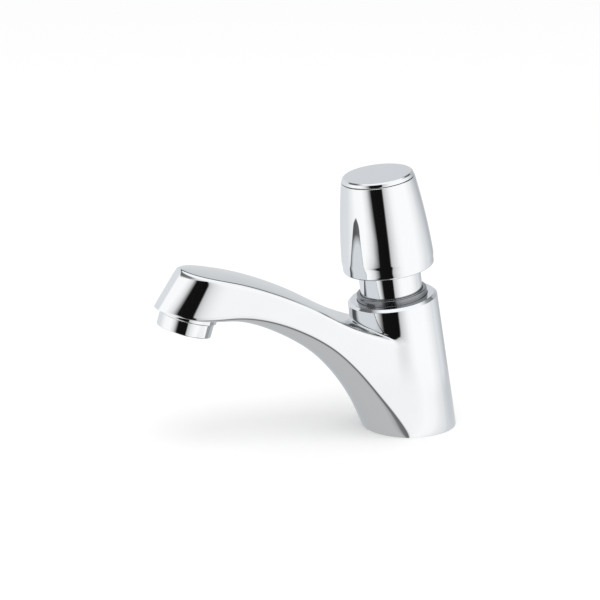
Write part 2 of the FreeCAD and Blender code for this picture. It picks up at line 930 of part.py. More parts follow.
def make_spring():
    """The return spring under the knob, between the sleeve's pocket and the spring cup."""
    leaning(
        "spring_cup",
        [
            ("spindle_radius + fit", f"{SPRING_TOP} - cup_spigot"),
            ("spring_radius - spring_wire - 3 * fit", f"{SPRING_TOP} - cup_spigot"),
            ("spring_radius - spring_wire - 3 * fit", SPRING_TOP),
            ("spring_cup_radius", SPRING_TOP),
            ("spring_cup_radius", "hub_along"),
            ("spindle_radius + fit", "hub_along"),
        ],
    )
    spring = doc.addObject("Part::Feature", "return_spring_coil")
    line = spring_line()
    coil = line.makePipeShell([spring_end(line)], True, False)
    spring.Shape = coil
    low = cell("spring_floor_along") + cell("spring_wire") + cell("seal_gap")
    spring.Placement = Placement(leaning_axis() * low, Rotation(Vector(1, 0, 0), cell("lean")))
    keep(spring, "return_spring")
    gap = number_of(SPRING_RISE) / cell("spring_turns") - 2 * cell("spring_wire")
    print(f"return_spring: {gap:.2f} mm between its turns")


def leaning_axis():
    """The unit vector along the leaning axis."""
    lean = math.radians(cell("lean"))
    return Vector(0, -math.sin(lean), math.cos(lean))


def spring_line():
    """The spring's middle line: a helix laid out as pairs of tangent arcs, two for each quarter turn."""
    radius, rise, turns = cell("spring_radius"), number_of(SPRING_RISE), cell("spring_turns")
    climb = rise / (2 * math.pi * turns)
    steps = int(round(4 * turns))
    places, ways = [], []
    for i in range(steps + 1):
        turn = 2 * math.pi * turns * i / steps
        places.append(Vector(radius * math.cos(turn), radius * math.sin(turn), climb * turn))
        way = Vector(-radius * math.sin(turn), radius * math.cos(turn), climb)
        ways.append(way.normalize())
    arcs = []
    for i in range(steps):
        arcs += biarc(places[i], ways[i], places[i + 1], ways[i + 1])
    return Part.Wire([arc.toShape() for arc in arcs])


def biarc(start, way, end, end_way):
    """Two arcs that meet smoothly and leave both ends along the given directions."""
    across = end - start
    square = 2 * (1 - way.dot(end_way))
    linear = 2 * across.dot(way + end_way)
    reach = (-linear + math.sqrt(linear**2 + 4 * square * across.dot(across))) / (2 * square)
    joint = (start + end + (way - end_way) * reach) * 0.5
    return [arc_to(start, start + way * reach, joint), arc_to(joint, end - end_way * reach, end)]


def arc_to(start, corner, end):
    """The arc that touches both lines of a corner at its ends."""
    middle = (start + end) * 0.5
    half = (end - start).Length / 2
    reach = (corner - start).Length
    lift = (corner - middle).Length
    bow = half * (reach - half) / lift
    return Part.Arc(start, middle + (corner - middle) * (bow / lift), end)


def spring_end(line):
    """The round section of the wire at the helix's start."""
    edge = line.Edges[0]
    start = edge.valueAt(edge.FirstParameter)
    way = edge.tangentAt(edge.FirstParameter)
    return Part.Wire([Part.Circle(start, way, cell("spring_wire")).toShape()])


def make_knob():
    """The hollow push knob, its top disc and the screw that holds it to the spindle."""
    inner_belly = "knob_belly_radius - knob_wall"
    inner_top = "knob_top_radius - knob_wall + 4 * fit"
    seat = "knob_top_radius - knob_wall"
    leaning(
        "knob_shell",
        [
            ("knob_foot_radius - knob_foot_round", "knob_along"),
            ("knob_foot_radius", "knob_along + knob_foot_round"),
            ("knob_belly_radius", "knob_belly_along"),
            ("knob_top_radius", "knob_top_along"),
            (seat, "knob_top_along"),
            (seat, KNOB_DECK_TOP),
            ("screw_radius + fit", KNOB_DECK_TOP),
            ("screw_radius + fit", KNOB_DECK_FOOT),
            ("spindle_radius + running_fit", KNOB_DECK_FOOT),
            ("spindle_radius + running_fit", "hub_along"),
            ("hub_radius", "hub_along"),
            ("hub_radius", KNOB_DECK_FOOT),
            (inner_top, KNOB_DECK_FOOT),
            (inner_belly, "knob_belly_along"),
            (inner_belly, "knob_along"),
        ],
        {
            2: ("knob_middle_radius", "knob_middle_along"),
            12: ("knob_middle_radius - knob_wall", "knob_middle_along"),
        },
    )
    disc_top = f"{DISC_FOOT} + disc_height"
    ceiling = f"{disc_top} - disc_web"
    leaning(
        "knob_top_disc",
        [
            ("screw_head_radius + 5 * fit", f"{KNOB_DECK_TOP} + running_fit"),
            (f"{seat} - running_fit", f"{KNOB_DECK_TOP} + running_fit"),
            (f"{seat} - running_fit", DISC_FOOT),
            ("disc_radius", DISC_FOOT),
            ("disc_radius", f"{disc_top} - disc_bevel"),
            ("disc_radius - disc_bevel", disc_top),
            ("0", disc_top),
            ("0", ceiling),
            ("screw_head_radius + 5 * fit", ceiling),
        ],
    )
    tip = f"{KNOB_DECK_TOP} - screw_length"
    head_top = f"{KNOB_DECK_TOP} + screw_head"
    leaning(
        "knob_screw",
        [
            ("0", tip),
            ("screw_radius", tip),
            ("screw_radius", KNOB_DECK_TOP),
            ("screw_head_radius", KNOB_DECK_TOP),
            ("screw_head_radius", head_top),
            ("screw_radius", head_top),
            ("screw_radius", f"{head_top} - screw_head / 2"),
            ("0", f"{head_top} - screw_head / 2"),
        ],
    )


def make_aerator():
    """The outlet ring and what it holds, from the stream's side upwards."""
    flange = "aerator_drop - collar_drop"
    thread_top = f"{flange} + aerator_thread"
    insert_top = "aerator_lip + insert_height"
    on_outlet(
        "aerator_housing",
        [
            ("aerator_lip_radius", "0"),
            ("aerator_radius - aerator_bevel", "0"),
            ("aerator_radius", "aerator_bevel"),
            ("aerator_radius", flange),
            ("aerator_thread_radius", flange),
            ("aerator_thread_radius", thread_top),
            ("aerator_bore_radius", thread_top),
            ("aerator_bore_radius", "aerator_lip"),
            ("aerator_lip_radius", "aerator_lip"),
        ],
    )
    edge = "aerator_bore_radius - fit"
    insert = on_outlet(
        "aerator_insert",
        [
            ("0", "aerator_lip"),
            (edge, "aerator_lip"),
            (edge, insert_top),
            ("aerator_lip_radius", insert_top),
            ("aerator_lip_radius", "aerator_lip + insert_plate"),
            ("0", "aerator_lip + insert_plate"),
        ],
    )
    drill_pattern(insert, "insert_hole_radius", "insert_pitch", "insert_top", insert_top)
    screen = on_outlet("aerator_screen", solid_disc(edge, insert_top, "screen_thickness"))
    drill_pattern(screen, "screen_hole_radius", "insert_pitch", "screen", insert_top + " + 1")
    washer = tube_points("outlet_pocket_radius", "aerator_thread_radius", thread_top, f"{thread_top} + seal_thickness")
    on_outlet("aerator_washer", washer)


def solid_disc(radius, low, height):
    """The outline of a plain disc that stands at a height."""
    high = f"{low} + {height}"
    return [("0", low), (radius, low), (radius, high), ("0", high)]


def drill_pattern(body, radius, pitch, name, above):
    """Holes along the axis: one in the middle and rings of six, twelve and eighteen."""
    sketch = new_sketch(body, "XY_Plane", name + "_holes")
    bind(sketch, "AttachmentOffset.Base.z", above)
    size = number_of(radius)
    places = [("0", "0")]
    for ring in range(1, HOLE_RINGS + 1):
        for hole in range(6 * ring):
            turn = 60.0 * hole / ring
            away = f"{pitch} * {ring}"
            places.append((f"{away} * cos({turn})", f"{away} * sin({turn})"))
    for index, (across, up) in enumerate(places):
        centre = Vector(number_of(across), number_of(up), 0)
        sketch.addGeometry(Part.Circle(centre, Vector(0, 0, 1), size), False)
        bound_radius = sketch.addConstraint(Sketcher.Constraint("Radius", index, size))
        bind(sketch, f"Constraints[{bound_radius}]", radius)
        fix_point(sketch, index, 3, across, up)
    pocket = body.newObject("PartDesign::Pocket", name + "_drilled")
    pocket.Profile = sketch
    pocket.Type = "ThroughAll"
    doc.recompute()


def cut_thread(shank):
    """The tail's thread as rings, wider than its real pitch, above a plain stretch at its end."""
    valley = new_sketch(shank, "XZ_Plane", "thread_valley")
    foot = "(thread_chamfer + thread_lead)"
    head = f"({foot} + ring_pitch - thread_land)"
    slope = "((ring_pitch - thread_land - thread_root) / 2)"
    beyond, root = "(thread_radius + fit)", "(thread_radius - thread_depth)"
    outline(
        valley,
        [(beyond, foot), ("thread_radius", foot), (root, f"{foot} + {slope}"),
         (root, f"{head} - {slope}"), ("thread_radius", head), (beyond, head)],
    )
    turn = shank.newObject("PartDesign::Groove", "thread_ring")
    turn.Profile = valley
    turn.ReferenceAxis = (origin_plane(shank, "Z_Axis"), [""])
    turn.Angle = 360
    pattern = shank.newObject("PartDesign::LinearPattern", "thread_rings")
    pattern.Originals = [turn]
    pattern.Direction = (origin_plane(shank, "Z_Axis"), [""])
    bind(pattern, "Length", "ring_pitch * (ring_count - 1)")
    bind(pattern, "Occurrences", "ring_count")
    shank.Tip = pattern
    doc.recompute()


def make_inlet():
    """The threaded tail under the body, with its washer and strainer."""
    length = "(tail_length + socket_depth - tail_washer)"
    below(
        "inlet_shank",
        [
            ("filter_radius + fit", "0"),
            ("thread_radius - thread_chamfer", "0"),
            ("thread_radius", "thread_chamfer"),
            ("thread_radius", length),
            ("inlet_radius", length),
            ("inlet_radius", "filter_depth + 2"),
            ("filter_cup_radius + fit", "filter_depth + 2"),
            ("filter_cup_radius + fit", "filter_rim"),
            ("filter_radius + fit", "filter_rim"),
        ],
        "tail_length",
    )
    cut_thread(PARTS["inlet_shank"])
    inside = "filter_cup_radius - filter_wall"
    strainer = below(
        "inlet_filter",
        [
            (inside, "0"),
            ("filter_radius", "0"),
            ("filter_radius", "filter_rim"),
            ("filter_cup_radius", "filter_rim"),
            ("filter_cup_radius", "filter_depth"),
            ("0", "filter_depth"),
            ("0", "filter_depth - filter_wall"),
            (inside, "filter_depth - filter_wall"),
        ],
        "tail_length",
    )
    slot = new_sketch(strainer, "XZ_Plane", "strainer_slot")
    low, high = "filter_rim + 1", "filter_depth - 2 * filter_wall"
    half = "filter_slot / 2"
    outline(slot, [(f"-{half}", low), (half, low), (half, high), (f"-{half}", high)])
    pocket_around(strainer, slot, "filter_radius + 1", "filter_slots")
    hole = "inlet_radius + fit"
    below("tail_washer", tube_points(hole, "thread_radius", "0", "tail_washer"), "tail_washer - socket_depth")


def make_deck_fixings():
    """The gasket in the base, and what clamps the tap from under the deck."""
    loose = "thread_radius + fixing_gap"
    below("base_gasket", tube_points(loose, "base_radius - foot_width - fit", "0", "gasket_thickness"), "0")
    rubber = "(deck_thickness + rubber_thickness)"
    plate = f"({rubber} + plate_thickness)"
    below("rubber_washer", tube_points(loose, "fixing_radius", "0", "rubber_thickness"), rubber)
    below("clamp_plate", tube_points(loose, "fixing_radius", "0", "plate_thickness"), plate)
    nut = hexagon("backnut", "backnut_flats", "thread_radius + fit / 2", "backnut_height")
    bind(nut, "Placement.Base.z", f"-({plate} + backnut_height)")


def write_parts():
    """Check every object and every sub-part, then write one file for each sub-part."""
    doc.recompute()
    for item in doc.Objects:
        if "Invalid" in item.State or "Error" in item.State:
            raise RuntimeError(f"{item.Label} failed: {item.State}")
    for label, item in PARTS.items():
        shape = item.Shape
        if shape.isNull() or not shape.isValid() or not shape.Solids:
            raise RuntimeError(f"{label} has no valid solid")
    os.makedirs("parts", exist_ok=True)
    for label, item in PARTS.items():
        item.Shape.exportStep(f"parts/{label}.step")
        print(f"{label}: {len(item.Shape.Solids)} solid, {item.Shape.Volume:.1f} cubic mm")


make_tap_body()
make_sleeve()
make_valve_seat()
make_cartridge_housing()
make_push_group()
make_spring()
make_knob()
make_aerator()
make_inlet()
make_deck_fixings()
write_parts()
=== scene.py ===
"""Self-closing basin tap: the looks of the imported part, in its own frame."""

import json
import logging
import math
from collections.abc import Callable, Sequence
from dataclasses import dataclass
from enum import Enum

import bmesh
import bpy
from mathutils import Matrix, Vector

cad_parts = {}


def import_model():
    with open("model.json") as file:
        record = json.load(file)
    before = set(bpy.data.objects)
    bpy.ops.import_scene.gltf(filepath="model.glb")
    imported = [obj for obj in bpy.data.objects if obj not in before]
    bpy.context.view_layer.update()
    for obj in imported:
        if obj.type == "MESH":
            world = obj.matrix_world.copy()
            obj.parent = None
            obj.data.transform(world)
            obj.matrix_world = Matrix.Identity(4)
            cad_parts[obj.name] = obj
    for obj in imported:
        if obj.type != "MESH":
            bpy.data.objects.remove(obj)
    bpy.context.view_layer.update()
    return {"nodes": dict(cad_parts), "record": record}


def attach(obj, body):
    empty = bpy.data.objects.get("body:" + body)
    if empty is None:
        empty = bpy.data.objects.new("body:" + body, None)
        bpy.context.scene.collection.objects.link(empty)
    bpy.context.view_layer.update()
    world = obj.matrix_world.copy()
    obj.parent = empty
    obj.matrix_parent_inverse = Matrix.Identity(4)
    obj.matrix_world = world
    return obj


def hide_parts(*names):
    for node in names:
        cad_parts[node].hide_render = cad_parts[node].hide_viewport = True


LOG = logging.getLogger("basin_tap")
MM = 0.001
UP = (0.0, 0.0, 1.0)
# The least radius of a turned ring, in millimetres, where it stands for a point on the axis
ON_AXIS = 0.01
Point = tuple[float, float]
Colour = tuple[float, float, float, float]


class Body(Enum):
    """The moving groups that pieces ride on."""

    TAP = "tap"
    PUSH = "push_group"


class Axis(Enum):
    """The three lines that the turned pieces are turned about."""

    UPRIGHT = "upright"
    LEANING = "leaning"
    OUTLET = "outlet"


LEAN = math.radians(7.8)
OUTLET_TILT = math.radians(16.3)
OUTLET_REACH = 113.0
OUTLET_HEIGHT = 58.2


def axis_matrix(axis: Axis) -> Matrix:
    """Where a turned piece goes.

    Args:
        axis: The line that the piece is turned about.

    Returns:
        The turn and shift, in metres, from the piece's own upright axis.
    """
    if axis is Axis.LEANING:
        return Matrix.Rotation(LEAN, 4, "X")
    if axis is Axis.OUTLET:
        place = Vector((0, -OUTLET_REACH, OUTLET_HEIGHT)) * MM
        return Matrix.Translation(place) @ Matrix.Rotation(-OUTLET_TILT, 4, "X")
    return Matrix.Identity(4)


def linear(shade: str) -> Colour:
    """An sRGB hex colour as linear light.

    Args:
        shade: The colour, such as "#C8CACC".

    Returns:
        Red, green, blue and alpha.
    """
    parts = [int(shade[i : i + 2], 16) / 255 for i in (1, 3, 5)]
    light = [c / 12.92 if c <= 0.04045 else ((c + 0.055) / 1.055) ** 2.4 for c in parts]
    return (light[0], light[1], light[2], 1.0)


def per_mm(size: float) -> float:
    """A texture scale, per metre, whose features are about the given size in millimetres."""
    return 1.0 / (size * MM)


def connect(tree: bpy.types.NodeTree, node: bpy.types.Node, links: dict) -> None:
    """Feed a node's inputs, by name or number, from output sockets."""
    for name, source in links.items():
        tree.links.new(source, node.inputs[name])


def add_node(
    tree: bpy.types.NodeTree, kind: str, settings: dict | None = None, links: dict | None = None
) -> bpy.types.Node:
    """Add one node with its settings and links.

    Args:
        tree: The node tree.
        kind: The node's type.
        settings: Properties by name, input values by socket name or number, and as "stops" the
            position, linear grey and coolness of each stop of a near-grey ramp, in order.
        links: Output sockets by the name or number of the input that they feed.

    Returns:
        The new node.
    """
    node = tree.nodes.new(kind)
    for name, value in (settings or {}).items():
        if name == "stops":
            points = node.color_ramp.elements
            while len(points) < len(value):
                points.new(0.5)
            for element, (place, grey, cool) in zip(points, value):
                element.position = place
                element.color = (grey * (1 - cool), grey, grey * (1 + cool), 1)
        elif isinstance(name, str) and hasattr(node, name):
            setattr(node, name, value)
        else:
            node.inputs[name].default_value = value
    connect(tree, node, links or {})
    return node


def new_surface(
    name: str, metallic: float = 0.0
) -> tuple[bpy.types.NodeTree, bpy.types.Node, bpy.types.NodeSocket]:
    """Start a node material.

    Args:
        name: The material's name.
        metallic: 1 for bare metal.

    Returns:
        The material's tree, its surface shader and the place on the piece.
    """
    material = bpy.data.materials.new(name)
    material.use_nodes = True
    tree = material.node_tree
    shader = tree.nodes["Principled BSDF"]
    shader.inputs["Metallic"].default_value = metallic
    return tree, shader, add_node(tree, "ShaderNodeTexCoord").outputs["Object"]


def patches(
    tree: bpy.types.NodeTree, place: bpy.types.NodeSocket, size: float, shades: tuple[str, str], rough: Point
) -> dict:
    """Slow patches that shift a finish's colour and roughness together.

    Args:
        tree: The node tree.
        place: The place on the piece.
        size: About how large a patch is, in millimetres.
        shades: The two colours that it shifts between.
        rough: The roughness that goes with each.

    Returns:
        The colour and roughness, by the shader input that they feed.
    """
    patch = add_node(tree, "ShaderNodeTexNoise", {"Scale": per_mm(size), "Detail": 4.0}, {"Vector": place})
    tones = {"data_type": "RGBA", 6: linear(shades[0]), 7: linear(shades[1])}
    tone = add_node(tree, "ShaderNodeMix", tones, {0: patch.outputs["Fac"]})
    span = {"To Min": rough[0], "To Max": rough[1]}
    level = add_node(tree, "ShaderNodeMapRange", span, {"Value": patch.outputs["Fac"]})
    return {"Base Color": tone.outputs[2], "Roughness": level.outputs["Result"]}


@dataclass(frozen=True)
class ChromePlate:
    """Bright chrome over nickel on buffed brass: a cool mirror with a slow ripple and a little haze."""

    name: str = "chrome_plate"
    colour: str = "#D9DBDD"
    roughness: float = 0.03
    haze: float = 0.05
    ripple_size: float = 16.0
    ripple_depth: float = 0.02
    thin_polish: float = 0.965

    def make(self) -> None:
        """Build the material."""
        tree, shader, place = new_surface(self.name, 1.0)
        # Plated metal darkens very slightly where the polish is thinner: patches of about 20 mm
        patch = add_node(tree, "ShaderNodeTexNoise", {"Scale": per_mm(20), "Detail": 3.0}, {"Vector": place})
        light = linear(self.colour)
        tones = {"data_type": "RGBA", 6: (*(self.thin_polish * c for c in light[:3]), 1.0), 7: light}
        tone = add_node(tree, "ShaderNodeMix", tones, {0: patch.outputs["Fac"]})
        # Buffing haze of about 3 mm, broken up by finer detail
        haze = add_node(tree, "ShaderNodeTexNoise", {"Scale": per_mm(3), "Detail": 5.0}, {"Vector": place})
        span = {"From Min": 0.35, "From Max": 0.75, "To Min": self.roughness, "To Max": self.haze}
        rough = add_node(tree, "ShaderNodeMapRange", span, {"Value": haze.outputs["Fac"]})
        swells = {"Scale": per_mm(self.ripple_size), "Detail": 1.0}
        ripple = add_node(tree, "ShaderNodeTexNoise", swells, {"Vector": place})
        depth = {"Distance": self.ripple_depth * MM}
        bump = add_node(tree, "ShaderNodeBump", depth, {"Height": ripple.outputs["Fac"]})
        looks = {"Base Color": tone.outputs[2], "Roughness": rough.outputs["Result"]}
        connect(tree, shader, {**looks, "Normal": bump.outputs["Normal"]})


@dataclass(frozen=True)
class TurnedMetal:
    """Machined metal, brass or stainless steel: turning rings round the piece's upright run."""

    name: str
    colour: str
    dull: str
    roughness: float
    ring: float = 0.5
    depth: float = 0.006

    def make(self) -> None:
        """Build the material."""
        tree, shader, place = new_surface(self.name, 1.0)
        # Handling and air leave duller patches of about 8 mm
        rough = (0.8 * self.roughness, 1.3 * self.roughness)
        looks = patches(tree, place, 8, (self.colour, self.dull), rough)
        # Tool marks are about 0.1 mm apart. To show, they are drawn 2 pi rings apart, which is 2 to 3 mm
        bands = {"wave_type": "BANDS", "bands_direction": "Z", "Scale": per_mm(self.ring) / 20}
        rings = add_node(tree, "ShaderNodeTexWave", {**bands, "Distortion": 0.4}, {"Vector": place})
        depth = {"Distance": self.depth * MM}
        bump = add_node(tree, "ShaderNodeBump", depth, {"Height": rings.outputs["Fac"]})
        connect(tree, shader, {**looks, "Normal": bump.outputs["Normal"]})


@dataclass(frozen=True)
class MouldedPolymer:
    """Moulded rubber or acetal: a fine matt grain with slightly uneven colour."""

    name: str
    colour: str
    shade: str
    roughness: float
    grain: float
    depth: float

    def make(self) -> None:
        """Build the material."""
        tree, shader, place = new_surface(self.name)
        # The colour is uneven in patches of about 10 mm
        rough = (0.85 * self.roughness, min(1.0, 1.15 * self.roughness))
        looks = patches(tree, place, 10, (self.colour, self.shade), rough)
        fine = {"Scale": per_mm(self.grain), "Detail": 2.0}
        grain = add_node(tree, "ShaderNodeTexNoise", fine, {"Vector": place})
        depth = {"Distance": self.depth * MM}
        bump = add_node(tree, "ShaderNodeBump", depth, {"Height": grain.outputs["Fac"]})
        connect(tree, shader, {**looks, "Normal": bump.outputs["Normal"]})


# Each finish of the record, by its slot
FINISHES = {
    "chrome_brass": ChromePlate(),
    "raw_brass": TurnedMetal("machined_brass", "#D9B36A", "#B98F4A", 0.24),
    "stainless": TurnedMetal("turned_stainless_steel", "#C2C3C4", "#A4A6A8", 0.28),
    "spring_steel": TurnedMetal("drawn_spring_steel", "#B2B3B6", "#8E9094", 0.3, 0.3, 0.003),
    "black_rubber": MouldedPolymer("moulded_nitrile_rubber", "#191919", "#232324", 0.62, 0.35, 0.02),
    "acetal_white": MouldedPolymer("moulded_white_acetal", "#E9E8E2", "#DFDED6", 0.35, 0.6, 0.005),
    "acetal_grey": MouldedPolymer("moulded_grey_acetal", "#7C7F82", "#6D7073", 0.35, 0.6, 0.005),
}

# The ring round the neck is plated with the rest, and is given a darker and hazier copy of the plate
DARKER_HAZIER_PLATE = ChromePlate("darker_hazier_chrome_plate", "#85878A", 0.14, 0.24, 6.0, 0.01)


def clear_selection() -> None:
    """Leave every object unselected."""
    for item in bpy.context.selected_objects:
        item.select_set(False)


def pick(piece: bpy.types.Object) -> None:
    """Leave one piece alone selected and active."""
    clear_selection()
    piece.select_set(True)
    bpy.context.view_layer.objects.active = piece


def soften(points: list[Point], radius: float, steps: int = 4) -> list[Point]:
    """Round the corners of a turned outline, with a ring close to each end of each arc.

    Args:
        points: (radius, height) of each corner, in order, open at both ends.
        radius: The rounding, held under 0.4 of the shorter side.
        steps: Arc steps at a square corner.

    Returns:
        The finer outline.
    """
    made = [points[0]]
    for before, corner, after in zip(points, points[1:], points[2:]):
        a, c, b = Vector(before), Vector(corner), Vector(after)
        in_way, out_way = (a - c).normalized(), (b - c).normalized()
        bend = math.pi - in_way.angle(out_way, 0.0)
        if bend < math.radians(12):
            made.append(corner)
            continue
        longest = 0.4 * min((a - c).length, (b - c).length)
        reach = min(radius * math.tan(bend / 2), longest)
        guard = 0.15 * reach
        arc = reach / math.tan(bend / 2)
        centre = c + (in_way + out_way).normalized() * math.hypot(arc, reach)
        start, end = c + in_way * reach, c + out_way * reach
        made.append(tuple(start + in_way * guard))
        count = max(2, round(steps * bend / (math.pi / 2)))
        for i in range(count + 1):
            along = start.lerp(end, i / count) - centre
            made.append(tuple(centre + along.normalized() * arc))
        made.append(tuple(end + out_way * guard))
    made.append(points[-1])
    return made


def soften_loop(points: list[Point], radius: float) -> list[Point]:
    """Round the corners of a closed outline, apart from its first point."""
    return soften([*points, points[0]], radius)[:-1]


def extrude_ring(way: Sequence[float], rise: Point, size: tuple[float, float, float]) -> None:
    """Extrude the selected ring along a line through the origin, then scale it about that line.

    Args:
        way: The line's direction.
        rise: Where along the line the ring was and is, in millimetres.
        size: The new ring's size over the old one's, along each axis.
    """
    start, end = rise
    move = {"value": [part * (end - start) * MM for part in way]}
    bpy.ops.mesh.extrude_edges_move(TRANSFORM_OT_translate=move)
    if abs(size[0] - 1) > 1e-9:
        bpy.ops.transform.resize(value=size, center_override=[part * end * MM for part in way])


def turn(
    name: str, points: list[Point], axis: Axis, closed: bool = True, sides: int = 192
) -> bpy.types.Object:
    """Turn an outline: a ring is drawn, then extruded and scaled from corner to corner.

    Args:
        name: The piece's name.
        points: (radius, height) of each ring in millimetres.
        axis: The line that the piece is turned about.
        closed: True where the last ring joins the first, as in a tube.
        sides: How many sides a ring has.

    Returns:
        The finished piece.
    """
    clear_selection()
    now, height = max(points[0][0], ON_AXIS), points[0][1]
    bpy.ops.mesh.primitive_circle_add(vertices=sides, radius=now * MM, location=(0, 0, height * MM))
    piece = bpy.context.object
    piece.name = piece.data.name = name
    bpy.ops.object.transform_apply(location=True, rotation=True, scale=True)
    bpy.ops.object.mode_set(mode="EDIT")
    bpy.ops.mesh.select_all(action="SELECT")
    if not closed:
        close_ring()
    for radius, level in points[1:]:
        wide = max(radius, ON_AXIS)
        extrude_ring(UP, (height, level), (wide / now, wide / now, 1))
        now, height = wide, level
    if closed:
        bpy.ops.mesh.select_all(action="DESELECT")
        bpy.ops.mesh.select_mode(type="EDGE")
        others = ("use_wire", "use_multi_face", "use_non_contiguous", "use_verts")
        bpy.ops.mesh.select_non_manifold(extend=False, **dict.fromkeys(others, False))
        bpy.ops.mesh.bridge_edge_loops()
    else:
        close_ring()
    face_outwards()
    piece.data.transform(axis_matrix(axis))
    smooth(piece, 40)
    return piece


def close_ring() -> None:
    """Fill the selected ring and leave the ring alone selected."""
    bpy.ops.mesh.edge_face_add()
    bpy.ops.mesh.select_mode(type="EDGE")


def face_outwards() -> None:
    """Point the edited mesh's faces outwards and leave edit mode."""
    bpy.ops.mesh.select_all(action="SELECT")
    bpy.ops.mesh.normals_make_consistent(inside=False)
    bpy.ops.object.mode_set(mode="OBJECT")


def smooth(piece: bpy.types.Object, angle: float) -> None:
    """Shade a piece smooth up to an edge angle in degrees."""
    pick(piece)
    bpy.ops.object.shade_smooth_by_angle(angle=math.radians(angle))


def apply_modifier(piece: bpy.types.Object, kind: str, settings: dict) -> None:
    """Add a modifier to a piece and apply it.

    Args:
        piece: The piece.
        kind: The modifier's type.
        settings: Its properties.
    """
    pick(piece)
    made = piece.modifiers.new(kind.lower(), kind)
    for name, value in settings.items():
        setattr(made, name, value)
    bpy.ops.object.modifier_apply(modifier=made.name)


def finish_piece(
    piece: bpy.types.Object,
    slot: str,
    body: Body,
    nodes: tuple[str, ...] = (),
    finish: ChromePlate | None = None,
) -> None:
    """Dress a piece, seat it on its body and let it stand for its nodes.

    Args:
        piece: The finished mesh.
        slot: The record's finish.
        body: The body that it rides on.
        nodes: The nodes that it stands for.
        finish: Its own material, where the slot's doesn't fit.
    """
    piece.data.materials.clear()
    piece.data.materials.append(bpy.data.materials[(finish or FINISHES[slot]).name])
    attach(piece, body.value)
    if nodes:
        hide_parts(*nodes)
    LOG.info("%s: %d faces on %s", piece.name, len(piece.data.polygons), body.value)


def between(table: tuple[Point, ...], at: float) -> float:
    """Read a table smoothly, by cubic pieces through its points.

    Args:
        table: (place, value) pairs in order.
        at: The place to read.

    Returns:
        The value there.
    """
    places = [p for p, _ in table]
    at_in = min(max(at, places[0]), places[-1])
    i = max(k for k in range(len(table) - 1) if places[k] <= at_in)

    def slope(k: int) -> float:
        """The slope at a table point."""
        low, high = max(k - 1, 0), min(k + 1, len(table) - 1)
        return (table[high][1] - table[low][1]) / (table[high][0] - table[low][0])

    wide = places[i + 1] - places[i]
    u = (at_in - places[i]) / wide
    y0, y1, m0, m1 = table[i][1], table[i + 1][1], slope(i) * wide, slope(i + 1) * wide
    value = (2 * u**3 - 3 * u**2 + 1) * y0 + (u**3 - 2 * u**2 + u) * m0
    value += (3 * u**2 - 2 * u**3) * y1 + (u**3 - u**2) * m1
    return value + (at - at_in) * (slope(0) if at < at_in else slope(len(table) - 1))


